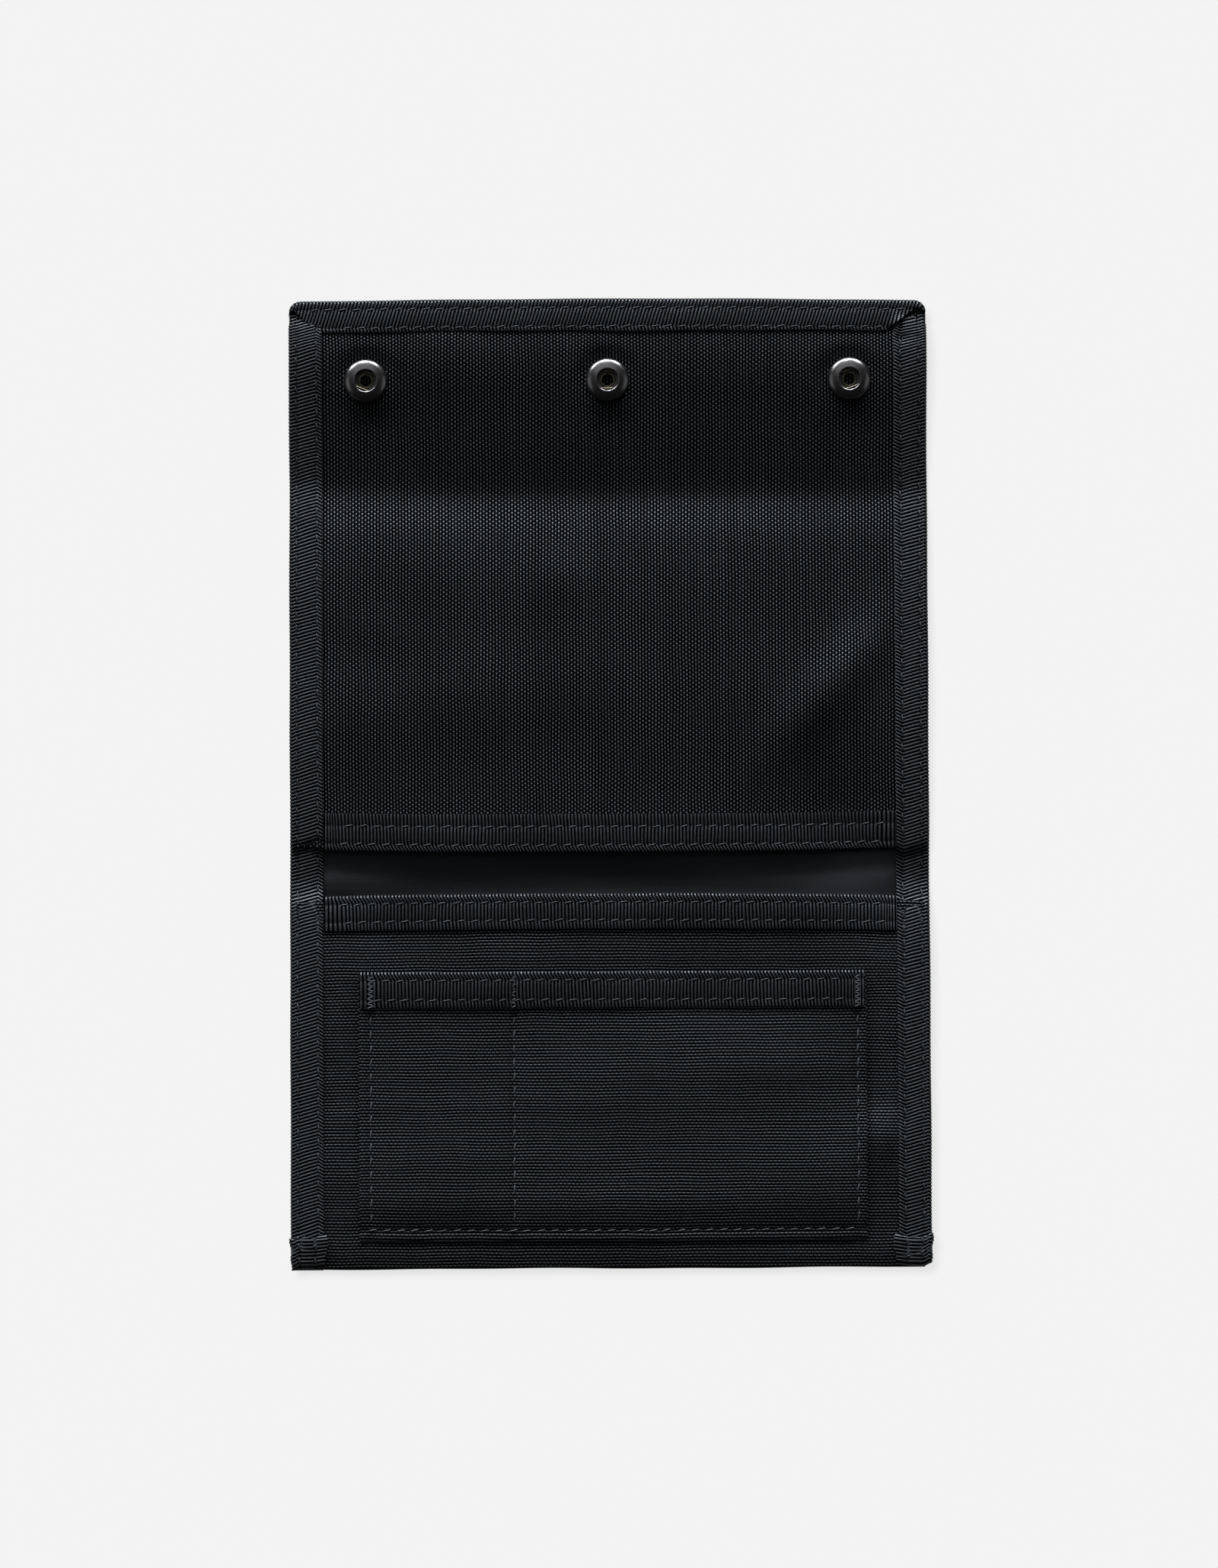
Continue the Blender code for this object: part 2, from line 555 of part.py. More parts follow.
def make_spring(name, center, turn_deg, material, body):
    """Racetrack of wire whose two straight runs grip the stud's neck."""
    path = []
    for side in (1.0, -1.0):
        for step in range(WIRE_ARC_STEPS + 1):
            angle = math.radians(-90.0 + 180.0 * step / WIRE_ARC_STEPS)
            x = side * (SPRING_STRAIGHT_HALF + SPRING_HALF_GAP * math.cos(angle))
            path.append((x, side * SPRING_HALF_GAP * math.sin(angle)))
    bm = bmesh.new()
    rings = []
    for index, (x, y) in enumerate(path):
        before = Vector(path[index - 1])
        after = Vector(path[(index + 1) % len(path)])
        along = (after - before).normalized()
        ring = []
        for side_index in range(WIRE_SIDES):
            angle = 2.0 * math.pi * side_index / WIRE_SIDES
            outward = SPRING_WIRE_RADIUS * math.cos(angle)
            height = SPRING_HEIGHT + SPRING_WIRE_RADIUS * math.sin(angle)
            ring.append(bm.verts.new((x + along.y * outward, y - along.x * outward, height)))
        rings.append(ring)
    for ring_index, ring in enumerate(rings):
        following_ring = rings[(ring_index + 1) % len(rings)]
        for index in range(WIRE_SIDES):
            following = (index + 1) % WIRE_SIDES
            bm.faces.new((ring[index], ring[following], following_ring[following], following_ring[index]))
    turn = Matrix.Rotation(math.radians(turn_deg), 3, "Z")
    bmesh.ops.rotate(bm, cent=(0.0, 0.0, 0.0), matrix=turn, verts=bm.verts[:])
    spring = mesh_object(name, bm, material, body, smooth_angle=60.0)
    spring.location = center


def make_stud(side_name, x, materials, body):
    """Snap stud under the outer shell, riveted by a post from inside the pocket."""
    flange_top = SHELL_Z - CLEARANCE
    flange_low = flange_top - STUD_FLANGE_THICKNESS
    stud_profile = [
        (STUD_BORE_RADIUS, flange_top),
        (STUD_FLANGE_RADIUS - 0.2 * MM, flange_top),
        (STUD_FLANGE_RADIUS, flange_top - 0.25 * MM),
        (STUD_FLANGE_RADIUS - 0.3 * MM, flange_low),
        (STUD_NECK_RADIUS + 0.3 * MM, flange_low),
        (STUD_NECK_RADIUS, flange_low - 0.25 * MM),
        (STUD_NECK_RADIUS, 0.5 * MM),
        (STUD_HEAD_RADIUS, 0.35 * MM),
        (STUD_HEAD_RADIUS - 0.15 * MM, 0.1 * MM),
        (STUD_HEAD_RADIUS - 0.9 * MM, 0.0),
        (0.0, 0.0),
        (0.0, flange_top - STUD_BORE_DEPTH),
        (STUD_BORE_RADIUS, flange_top - STUD_BORE_DEPTH),
    ]
    axis_start = stud_profile.index((0.0, flange_top - STUD_BORE_DEPTH))
    stud_profile = stud_profile[axis_start:] + stud_profile[:axis_start]
    place = (x, row_y(STUD_AT), 0.0)
    turned("snap_stud_" + side_name, stud_profile, place, materials["gunmetal"], body)

    post_flange_low = LINING_TOP_Z + 0.1 * MM
    post_flange_top = post_flange_low + 0.4 * MM
    post_tip = flange_top - STUD_BORE_DEPTH + 0.3 * MM
    post_profile = [
        (0.0, post_tip),
        (STUD_POST_RADIUS - 0.2 * MM, post_tip),
        (STUD_POST_RADIUS, post_tip + 0.2 * MM),
        (STUD_POST_RADIUS, post_flange_low),
        (STUD_POST_FLANGE_RADIUS, post_flange_low),
        (STUD_POST_FLANGE_RADIUS, post_flange_top - 0.1 * MM),
        (STUD_POST_FLANGE_RADIUS - 0.2 * MM, post_flange_top),
        (0.0, post_flange_top),
    ]
    turned("stud_post_" + side_name, post_profile, place, materials["plated_steel"], body)


def main():
    clear_scene()
    materials = make_materials()
    bodies = make_bodies()
    make_lower_panel(materials, bodies["lower_panel_frame"])
    make_main_spine(materials, bodies["main_spine_frame"])
    make_middle_panel(materials, bodies["middle_panel_frame"])
    make_flap_spine(materials, bodies["flap_spine_frame"])
    make_flap(materials, bodies["flap_frame"])


main()
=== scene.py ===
"""The looks of the trifold travel wallet: cloth, tapes, stitching and snaps in place of the plain CAD solids.

Every piece is built in the CAD's own frame and sizes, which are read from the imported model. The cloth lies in
one shared soft relief (cloth_relief), which all its layers follow, so that they stay nested.
"""
import json
import math

import bmesh
import bpy
import numpy as np
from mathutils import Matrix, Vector


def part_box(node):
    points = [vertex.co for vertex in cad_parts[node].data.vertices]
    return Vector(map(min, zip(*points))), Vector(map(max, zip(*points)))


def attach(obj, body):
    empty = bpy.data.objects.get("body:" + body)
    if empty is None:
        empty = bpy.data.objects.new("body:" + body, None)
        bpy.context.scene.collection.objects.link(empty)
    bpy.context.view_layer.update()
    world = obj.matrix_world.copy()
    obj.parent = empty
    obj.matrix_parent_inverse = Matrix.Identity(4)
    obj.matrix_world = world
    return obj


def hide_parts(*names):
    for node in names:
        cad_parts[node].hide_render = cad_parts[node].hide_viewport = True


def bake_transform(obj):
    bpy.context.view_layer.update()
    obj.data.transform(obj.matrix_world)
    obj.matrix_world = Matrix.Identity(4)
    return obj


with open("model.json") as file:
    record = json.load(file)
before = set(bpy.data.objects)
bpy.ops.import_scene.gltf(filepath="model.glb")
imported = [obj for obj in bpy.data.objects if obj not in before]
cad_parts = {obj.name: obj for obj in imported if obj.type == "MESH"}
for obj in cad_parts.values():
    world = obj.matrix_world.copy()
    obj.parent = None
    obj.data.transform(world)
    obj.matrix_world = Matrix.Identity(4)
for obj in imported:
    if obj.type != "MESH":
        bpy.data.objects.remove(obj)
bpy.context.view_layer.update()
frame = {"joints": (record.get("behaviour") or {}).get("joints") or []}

MM = 0.001
FULL_TURN = 2.0 * math.pi

# ---------------------------------------------------------------- driving sizes, from the frame


def box(node):
    """A CAD node's low and high corner in millimetres."""
    low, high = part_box(node)
    return low / MM, high / MM


HINGE_Y = {joint["name"]: joint["pos_m"][1] / MM for joint in frame["joints"]}
LOWER_HINGE_Y = HINGE_Y["lower_panel_fold"]
MIDDLE_HINGE_Y = HINGE_Y["main_spine_fold"]
CREASE_HINGE_Y = HINGE_Y["flap_spine_fold"]
FLAP_HINGE_Y = HINGE_Y["flap_fold"]
MAIN_SPINE_MID_Y = (LOWER_HINGE_Y + MIDDLE_HINGE_Y) / 2.0
FLAP_SPINE_MID_Y = (CREASE_HINGE_Y + FLAP_HINGE_Y) / 2.0
MIDDLE_PANEL_MID_Y = (MIDDLE_HINGE_Y + CREASE_HINGE_Y) / 2.0

SIDE_LOW, SIDE_HIGH = box("right_binding_lower")
END_LOW, END_HIGH = box("flap_end_binding")
SHELL_LOW, SHELL_HIGH = box("middle_outer_shell")
LINING_LOW, LINING_HIGH = box("middle_lining")
CARD_LOW, CARD_HIGH = box("card_pocket_front")
CARD_TAPE_LOW, CARD_TAPE_HIGH = box("card_pocket_tape")
UPPER_TAPE_LOW, UPPER_TAPE_HIGH = box("upper_pocket_tape")
HALF_WIDTH = SIDE_HIGH.x
BOTTOM_Y = box("lower_pocket_front")[0].y
TOP_Y = END_HIGH.y
CLOTH_HALF_WIDTH = SHELL_HIGH.x
BINDING_WIDTH = SIDE_HIGH.x - SIDE_LOW.x
END_BINDING_WIDTH = END_HIGH.y - END_LOW.y
FRONT_TOP_Z = box("upper_pocket_front")[1].z
FLAP_INNER_TOP_Z = box("flap_inner_panel")[1].z
PANEL_BINDING_TOP = box("right_binding_middle")[1].z
SPINE_BINDING_TOP = box("right_binding_main_spine")[1].z
FLAP_BINDING_TOP = box("right_binding_flap")[1].z
BINDING_LOW_Z = box("right_binding_middle")[0].z
CARD_MOUTH_Y = CARD_TAPE_HIGH.y
UPPER_MOUTH_Y = UPPER_TAPE_LOW.y
LOWER_MOUTH_Y = box("lower_pocket_tape")[1].y
MOUTH_TAPE_WIDTH = UPPER_TAPE_HIGH.y - UPPER_MOUTH_Y
CARD_TAPE_WIDTH = CARD_MOUTH_Y - CARD_TAPE_LOW.y
CLOTH_THICKNESS = 0.5
TAPE_THICKNESS = 0.4
SOCKETS = {side: sum(box("snap_socket_" + side), Vector()) / 2.0 for side in ("left", "middle", "right")}
SOCKET_Y = SOCKETS["middle"].y
SOCKET_BASE_Z = box("snap_socket_middle")[0].z
SOCKET_RADIUS = box("snap_socket_middle")[1].x - SOCKETS["middle"].x

# Cloth and tape patterns
WARP_PITCH = 0.78
WEFT_PITCH = 0.52
RIB_PITCH = 0.87
RIB_HEIGHT = 0.2
RIB_SAMPLES = (0.0, 0.22, 0.5, 0.78)
STITCH_PITCH = 3.5
STITCH_RADIUS = 0.18

# Soft relief of the lying cloth
MAIN_VALLEY_DEPTH = 2.5
MAIN_VALLEY_REACH = 23.0
MAIN_VALLEY_REACH_LOW = 7.0
LINING_VALLEY_ROUNDING = 3.8
CREASE_AT_Y = CREASE_HINGE_Y - 2.2
CREASE_VALLEY_DEPTH = 2.5
CREASE_VALLEY_REACH = 21.0
FLAP_RISE_SLOPE = 0.125
WAVE_SEED = 11
WAVE_COUNT = 9
WAVE_HEIGHT = 0.20 / math.sqrt(WAVE_COUNT)

# Soft bumps: x, y from the bottom edge, half widths, turn in degrees, height
BUMPS = (
    (-31.0, 144.0, 20.0, 9.0, 5.0, 0.16),
    (57.0, 146.0, 25.0, 6.2, 47.0, 1.25),
    (58.0, 106.0, 11.0, 17.0, 0.0, -1.2),
    (-12.0, 172.0, 9.0, 7.0, 0.0, 0.35),
    (8.0, 176.0, 6.0, 12.0, 20.0, -0.30),
    (12.0, 118.0, 9.0, 9.0, 0.0, -0.30),
    (-58.0, 160.0, 12.0, 7.0, -20.0, 0.40),
    (69.0, 33.0, 6.5, 7.0, 12.0, 1.50),
    (-71.0, 30.0, 5.0, 12.0, 0.0, 0.50),
    (20.0, 34.0, 30.0, 10.0, -8.0, 0.30),
    (-40.0, 54.0, 12.0, 9.0, 10.0, 0.22),
    (40.0, 50.0, 13.0, 7.0, -10.0, 0.28),
)


def ramp(value, start, length):
    """A smooth rise from 0 at start to 1 at start + length. A negative length rises the other way."""
    share = np.clip((value - start) / length, 0.0, 1.0)
    return share * share * (3.0 - 2.0 * share)


def bell(distance, half_width):
    return np.exp(-((distance / half_width) ** 2))


def rounded(distance, rounding):
    """A distance whose sharp turn at zero is rounded."""
    return np.sqrt(distance * distance + rounding * rounding) - rounding


def main_valley(y, rounding=2.2, flat=0.0):
    """The fold between the lower and middle panels, wider on the middle panel's side."""
    away = y - MAIN_SPINE_MID_Y
    distance = np.maximum(np.abs(away) - flat, 0.0)
    reach = np.where(away > 0.0, MAIN_VALLEY_REACH, MAIN_VALLEY_REACH_LOW)
    return -MAIN_VALLEY_DEPTH * np.exp(-rounded(distance, rounding) / reach)


def crease_valley(x, y):
    """The flap's crease: the flap rises straight from it to the snaps, and the middle panel levels out."""
    away = y - CREASE_AT_Y + 2.1 * ramp(x, -76.0, 48.0)
    distance = rounded(away, 1.8)
    level = -CREASE_VALLEY_DEPTH * np.exp(-distance / CREASE_VALLEY_REACH)
    past = np.maximum(y - (SOCKET_Y - 2.0), 0.0)
    rise = FLAP_RISE_SLOPE * (distance - 1.35 * past * past / 24.0)
    return np.where(away > 0.0, rise - CREASE_VALLEY_DEPTH, level)


def make_waves():
    """Shallow waves of random length, heading and phase."""
    rng = np.random.default_rng(WAVE_SEED)
    waves = []
    for _ in range(WAVE_COUNT):
        number = FULL_TURN / rng.uniform(26.0, 60.0)
        heading = rng.uniform(0.0, math.pi)
        phase = rng.uniform(0.0, FULL_TURN)
        waves.append((number * math.cos(heading), number * math.sin(heading), phase))
    return waves


WAVES = make_waves()


def cloth_relief(x, y):
    """Height that the lying cloth adds to every layer's flat height."""
    x = np.asarray(x, float)
    y = np.asarray(y, float)
    soft = sum(WAVE_HEIGHT * np.sin(kx * x + ky * y + phase) for kx, ky, phase in WAVES)
    for bump_x, from_bottom, long_half, short_half, turn_deg, height in BUMPS:
        turn = math.radians(turn_deg)
        dx, dy = x - bump_x, y - (BOTTOM_Y + from_bottom)
        along = dx * math.cos(turn) + dy * math.sin(turn)
        across = dy * math.cos(turn) - dx * math.sin(turn)
        soft = soft + height * bell(along, long_half) * bell(across, short_half)
    soft = soft * (0.35 + 0.65 * ramp(np.abs(x), CLOTH_HALF_WIDTH, -14.0))
    soft = soft * ramp(y, BOTTOM_Y, 12.0) * ramp(y, TOP_Y, -12.0)
    z = main_valley(y) * (1.0 - 0.3 * ramp(x, -62.0, -14.0)) + crease_valley(x, y) + soft
    z = z * ramp(y, BOTTOM_Y, 6.0)
    for center in SOCKETS.values():
        z = z * ramp(np.hypot(x - center.x, y - center.y), SOCKET_RADIUS - 0.5, 4.0)
    return z


def taper(x, y):
    """The wallet is a little narrower at the flap than at the bottom."""
    return x * (1.0 - 0.006 * (y - BOTTOM_Y) / (TOP_Y - BOTTOM_Y))


def end_draw(x, y):
    """How far the flap's end is drawn in, most of all at its corners."""
    side = x / HALF_WIDTH
    draw = 0.95 + np.where(side > 0.0, 0.85, 0.45) * side * side
    return -draw * ramp(y, SOCKET_Y + 6.0, TOP_Y - SOCKET_Y - 10.0)


# ---------------------------------------------------------------- mesh helpers


def mesh_from_arrays(name, verts, quads, uvs, material, smooth_deg=None, sharp_pairs=None):
    """A mesh from vertices in mm, quads and per-vertex UVs, turned so that its faces point out."""
    verts = verts.reshape(-1, 3) * MM
    uvs = uvs.reshape(-1, 2)
    p0, p1, p2, p3 = (verts[quads[:, k]] for k in range(4))
    volume = np.einsum("ij,ij->", p0, np.cross(p1, p2)) + np.einsum("ij,ij->", p0, np.cross(p2, p3))
    if volume < 0.0:
        quads = quads[:, ::-1]
    mesh = bpy.data.meshes.new(name)
    mesh.vertices.add(len(verts))
    mesh.vertices.foreach_set("co", verts.astype(np.float32).ravel())
    mesh.loops.add(quads.size)
    mesh.loops.foreach_set("vertex_index", quads.astype(np.int32).ravel())
    mesh.polygons.add(len(quads))
    mesh.polygons.foreach_set("loop_start", np.arange(0, quads.size, 4, dtype=np.int32))
    layer = mesh.uv_layers.new(name="Cloth")
    layer.data.foreach_set("uv", uvs[quads.ravel()].astype(np.float32).ravel())
    mesh.update(calc_edges=True)
    mesh.validate()
    mesh.shade_smooth()
    if smooth_deg is not None:
        mesh.set_sharp_from_angle(angle=math.radians(smooth_deg))
    if sharp_pairs is not None:
        mark_sharp(mesh, sharp_pairs)
    mesh.materials.append(material)
    return link_object(name, mesh)


def link_object(name, data):
    made = bpy.data.objects.new(name, data)
    bpy.context.scene.collection.objects.link(made)
    return made


def mark_sharp(mesh, pairs):
    """Sharp edges between the given pairs of vertices."""
    ends = np.empty(2 * len(mesh.edges), dtype=np.int32)
    mesh.edges.foreach_get("vertices", ends)
    ordered = (np.sort(both.reshape(-1, 2), axis=1).astype(np.int64) for both in (ends, pairs))
    keys = [both @ (len(mesh.vertices), 1) for both in ordered]
    if "sharp_edge" not in mesh.attributes:
        mesh.attributes.new("sharp_edge", "BOOLEAN", "EDGE")
    sharp = np.zeros(len(mesh.edges), dtype=bool)
    mesh.attributes["sharp_edge"].data.foreach_get("value", sharp)
    mesh.attributes["sharp_edge"].data.foreach_set("value", sharp | np.isin(*keys))


def closed_grid(name, outer, inner, uv, material, smooth_deg=75.0):
    """Closed solid between two grids of the same shape, joined round their border."""
    rows, columns = outer.shape[:2]
    count = rows * columns
    index = np.arange(count).reshape(rows, columns)
    quads = np.stack([index[:-1, :-1], index[1:, :-1], index[1:, 1:], index[:-1, 1:]], axis=-1).reshape(-1, 4)
    border = np.concatenate([index[0, :], index[1:, -1], index[-1, -2::-1], index[-2:0:-1, 0]])
    edges = np.stack([border, np.roll(border, -1)], axis=-1)
    walls = np.concatenate([edges, edges[:, ::-1] + count], axis=-1)
    quads = np.concatenate([quads, quads[:, ::-1] + count, walls])
    rims = np.concatenate([edges, edges + count])
    layers = np.stack([outer, inner])
    return mesh_from_arrays(name, layers, quads, np.stack([uv, uv]), material, smooth_deg, rims)


def tube_quads(rings, sides, closed=False):
    """Quads between rings of points, where the last ring joins the first one if the tube is closed."""
    ring, side = np.indices((rings if closed else rings - 1, sides))
    low, high = ring * sides, (ring + 1) % rings * sides
    following = (side + 1) % sides
    return np.stack([low + side, low + following, high + following, high + side], axis=-1).reshape(-1, 4)


def turn_angles(sides):
    return FULL_TURN * np.arange(sides) / sides


def grid_of(*parts):
    """One array of points or UVs from its separate coordinates."""
    return np.stack(np.broadcast_arrays(*parts), axis=-1)


def spread(low, high, step, fixed=()):
    """Stations from low to high about step apart, which include the fixed ones between them."""
    marks = sorted({low, high, *[mark for mark in fixed if low < mark < high]})
    stations = []
    for start, end in zip(marks, marks[1:]):
        count = max(1, int(round((end - start) / step)))
        stations.extend(np.linspace(start, end, count, endpoint=False))
    stations.append(high)
    return np.array(stations)


SHEET_STEP = 1.6
CUT_STEP = 0.25


def cloth_sheet(name, y_low, y_high, top, thickness, material, shift=end_draw):
    """A sheet of the cloth's full width whose top follows top(x, y). shift(x, y) moves it along Y."""
    xs = spread(-CLOTH_HALF_WIDTH, CLOTH_HALF_WIDTH, SHEET_STEP, (0.0,))
    ys = spread(y_low, y_high, SHEET_STEP, (y_low + CUT_STEP, y_high - CUT_STEP))
    x, y = np.meshgrid(xs, ys)
    moved = y + shift(x, y)
    outer = grid_of(taper(x, y), moved, top(x, moved))
    return closed_grid(name, outer, outer - (0.0, 0.0, thickness), grid_of(x, y) * MM, MATERIAL[material])


# ---------------------------------------------------------------- materials


class Value:
    """A shader value that plain arithmetic works on."""

    def __init__(self, nodes, socket):
        self.nodes = nodes
        self.socket = socket

    def __add__(self, other):
        return self.nodes.math("ADD", self, other)

    def __sub__(self, other):
        return self.nodes.math("SUBTRACT", self, other)

    def __mul__(self, other):
        return self.nodes.math("MULTIPLY", self, other)

    def __truediv__(self, other):
        return self.nodes.math("DIVIDE", self, other)

    def __pow__(self, other):
        return self.nodes.math("POWER", self, other)

    def clamped(self):
        """The same value, held between 0 and 1 by the math node that made it."""
        self.socket.node.use_clamp = True
        return self


class Nodes:
    """Short calls for building a node tree."""

    def __init__(self, material):
        self.tree = material.node_tree
        self.shader = self.tree.nodes["Principled BSDF"]

    def add(self, kind, **settings):
        node = self.tree.nodes.new(kind)
        for key, value in settings.items():
            setattr(node, key, value)
        return node

    def feed(self, socket, value):
        value = getattr(value, "socket", value)
        if isinstance(value, bpy.types.NodeSocket):
            self.tree.links.new(value, socket)
        else:
            socket.default_value = value

    def set(self, **inputs):
        """Feeds the shader's inputs, which are named with underscores."""
        for name, value in inputs.items():
            self.feed(self.shader.inputs[name.replace("_", " ")], value)

    def math(self, operation, *values):
        node = self.add("ShaderNodeMath", operation=operation)
        for socket, value in zip(node.inputs, values):
            self.feed(socket, value)
        return Value(self, node.outputs[0])

    def mix(self, factor, low, high):
        return self.math("SUBTRACT", high, low) * factor + low

    def color(self, factor, dark, light):
        node = self.add("ShaderNodeMix", data_type="RGBA")
        self.feed(node.inputs[0], factor)
        node.inputs[6].default_value = (*dark, 1.0)
        node.inputs[7].default_value = (*light, 1.0)
        return node.outputs[2]

    def cloth_uv(self):
        uv = self.add("ShaderNodeUVMap", uv_map="Cloth").outputs[0]
        split = self.add("ShaderNodeSeparateXYZ")
        self.feed(split.inputs[0], uv)
        return uv, Value(self, split.outputs[0]), Value(self, split.outputs[1])

    def vector(self, *parts):
        node = self.add("ShaderNodeCombineXYZ")
        for socket, part in zip(node.inputs, parts):
            self.feed(socket, part)
        return node.outputs[0]

    def noise(self, vector, scale, detail=2.0, roughness=0.5):
        node = self.add("ShaderNodeTexNoise")
        self.feed(node.inputs["Vector"], vector)
        node.inputs["Scale"].default_value = scale
        node.inputs["Detail"].default_value = detail
        node.inputs["Roughness"].default_value = roughness
        return Value(self, node.outputs[0])

    def random(self, value):
        node = self.add("ShaderNodeTexWhiteNoise", noise_dimensions="1D")
        self.feed(node.inputs["W"], value)
        return Value(self, node.outputs[0])

    def normal(self, slope_u, slope_v):
        """A normal from its tangent-space slopes, in the cloth's own UV directions."""
        node = self.add("ShaderNodeNormalMap", space="TANGENT", uv_map="Cloth")
        self.feed(node.inputs["Color"], self.vector(slope_u * 0.5 + 0.5, slope_v * 0.5 + 0.5, 1.0))
        return node.outputs[0]


CLOTH_SHEEN_TINT = (0.80, 0.88, 0.97)
# Near-black painted shade for the gaps between yarns and the grooves between tape ribs
PAINTED_GAP_SHADE = (0.0001, 0.0001, 0.0002)


def new_material(name, color, roughness, metallic=0.0, specular=0.5, tint=CLOTH_SHEEN_TINT):
    material = bpy.data.materials.new(name)
    material.use_nodes = True
    nodes = Nodes(material)
    nodes.set(Base_Color=(*color, 1.0), Roughness=roughness, Metallic=metallic)
    nodes.set(Specular_IOR_Level=specular, Specular_Tint=(*tint, 1.0))
    return material, nodes


def weave_material(name, turned):
    """Plain weave of thick nylon yarns. The thick warp runs along V, or along U if turned. Its colour,
    roughness and specular level are painted darker in the gaps between the yarns and where the yarns dive, as
    painted shade.
    """
    material, n = new_material(name, (0.012, 0.012, 0.014), 0.45)
    uv, u, v = n.cloth_uv()
    if turned:
        u, v = v, u
    shift = n.noise(uv, 70.0, 1.0) * 0.9 + n.noise(uv, 900.0, 2.0) * 0.12
    warp = u / (WARP_PITCH * MM) + shift
    weft = v / (WEFT_PITCH * MM) + shift * 1.3
    column = n.math("FLOOR", warp)
    row = n.math("FLOOR", weft)
    across_warp = (warp - column) * 2.0 - 1.0
    across_weft = (weft - row) * 2.0 - 1.0
    warp_angle = (weft - 0.5 + column) * math.pi
    weft_angle = (warp - 0.5 + row) * math.pi
    warp_wave = n.math("COSINE", warp_angle)
    weft_wave = n.math("COSINE", weft_angle) * -1.0
    warp_round = across_warp * across_warp
    weft_round = across_weft * across_weft
    on_top = n.math("GREATER_THAN", warp_wave + 1.5 - warp_round * 0.9, weft_wave - weft_round * 0.9)
    yarn_edge = 1.25 if turned else 0.95
    slope_u = n.mix(on_top, n.math("SINE", weft_angle) * -0.45, n.math("SINE", across_warp * yarn_edge))
    slope_v = n.mix(on_top, n.math("SINE", across_weft * yarn_edge), n.math("SINE", warp_angle) * 0.42)
    # warp_open, weft_open and the waves are painted shade: dark in the gaps between yarns and where each yarn
    # dives under the other
    warp_open = (warp_round ** 0.75 * -2.10 + 1.0).clamped()
    weft_open = weft_round ** 0.9 * -1.0 + 1.0
    lit = n.mix(on_top, weft_open * (weft_wave * 0.05 + 0.03), warp_open * (warp_wave * 0.22 + 0.78))
    yarn_shade = n.mix(on_top, n.random(row), n.random(column))
    lit = (lit * (yarn_shade * 0.30 + 0.80)).clamped()
    lit = (lit * (n.noise(uv, 45.0, 4.0, 0.6) * 0.35 + 0.82)).clamped()
    # Where lit is low the colour is the near-black painted shade, and the roughness and specular level below
    # follow the same painted shade
    n.set(Base_Color=n.color(lit, PAINTED_GAP_SHADE, (0.0470, 0.0530, 0.0595)), Roughness=n.mix(lit, 0.50, 0.36))
    n.set(Specular_IOR_Level=lit * (1.50 if turned else 1.10))
    if turned:
        slope_u, slope_v = slope_v, slope_u
    n.set(Normal=n.normal(slope_u, slope_v))
    return material


def tape_material(name):
    """Ribbed grosgrain, painted darker in the grooves between its ribs as painted shade. U counts the ribs and
    V runs across the tape.
    """
    material, n = new_material(name, (0.02, 0.021, 0.024), 0.5)
    rib, v = n.cloth_uv()[1:]
    index = n.math("FLOOR", rib)
    across = (rib - index) * 2.0 - 1.0
    # crown is painted shade: colour, roughness and specular level darken into the grooves between ribs
    crown = ((across * across) ** 0.75 * -1.80 + 1.0).clamped()
    bead = n.math("SINE", (v / (0.42 * MM) + n.random(index)) * FULL_TURN)
    grit = n.noise(n.vector(index * 7.3, v / (1.1 * MM)), 1.0, 3.0, 0.7)
    lit = (crown * (bead * 0.12 + 0.88) * (grit * 1.1 + 0.40)).clamped()
    n.set(Base_Color=n.color(lit, PAINTED_GAP_SHADE, (0.0370, 0.0416, 0.0463)), Roughness=n.mix(lit, 0.50, 0.36))
    n.set(Specular_IOR_Level=lit * 1.15, Normal=n.normal(across * 0.35, bead * 0.22))
    return material


def lining_material():
    """Fine coated lining cloth with faint cross threads and specks of lint."""
    material, n = new_material("coated_lining_cloth", (0.012, 0.013, 0.016), 0.42, specular=0.75)
    uv, u, v = n.cloth_uv()
    thread = n.math("SINE", v / (0.34 * MM) * FULL_TURN)
    streak = n.noise(n.vector(u * 40.0, v * 900.0), 1.0, 3.0, 0.6)
    speck = n.math("GREATER_THAN", n.noise(uv, 1500.0, 0.0), 0.80)
    lit = ((streak * 0.8 + 0.2) * 0.32 + speck * 0.6).clamped()
    n.set(Base_Color=n.color(lit, (0.0015, 0.0017, 0.0022), (0.016, 0.017, 0.020)))
    n.set(Roughness=n.mix(streak, 0.36, 0.56), Normal=n.normal(0.0, thread * 0.06))
    return material


def thread_material(name, light):
    """Twisted sewing thread, painted darker along the grooves of its twist as painted shade between the plies.
    """
    material, n = new_material(name, (0.03, 0.031, 0.035), 0.42, specular=0.6)
    u, v = n.cloth_uv()[1:]
    twist = n.math("SINE", (u * 9.0 + v) * FULL_TURN)
    # The colour darkens along the twist's grooves: painted shade between the plies
    n.set(Base_Color=n.color(twist * 0.3 + 0.7, (0.002, 0.002, 0.003), light))
    n.set(Normal=n.normal(twist * 0.2, 0.0))
    return material


def metal_material(name, color, roughness, variation):
    """Plated metal with faint handling marks."""
    material, n = new_material(name, color, roughness, metallic=1.0, tint=(1.0, 1.0, 1.0))
    place = n.add("ShaderNodeTexCoord").outputs["Object"]
    marks = n.noise(place, 900.0, 4.0, 0.65)
    dark = tuple(channel * (1.0 - variation) for channel in color)
    n.set(Base_Color=n.color(n.noise(place, 260.0), dark, color))
    n.set(Roughness=n.mix(marks, roughness - 0.04, roughness + 0.06))
    return material


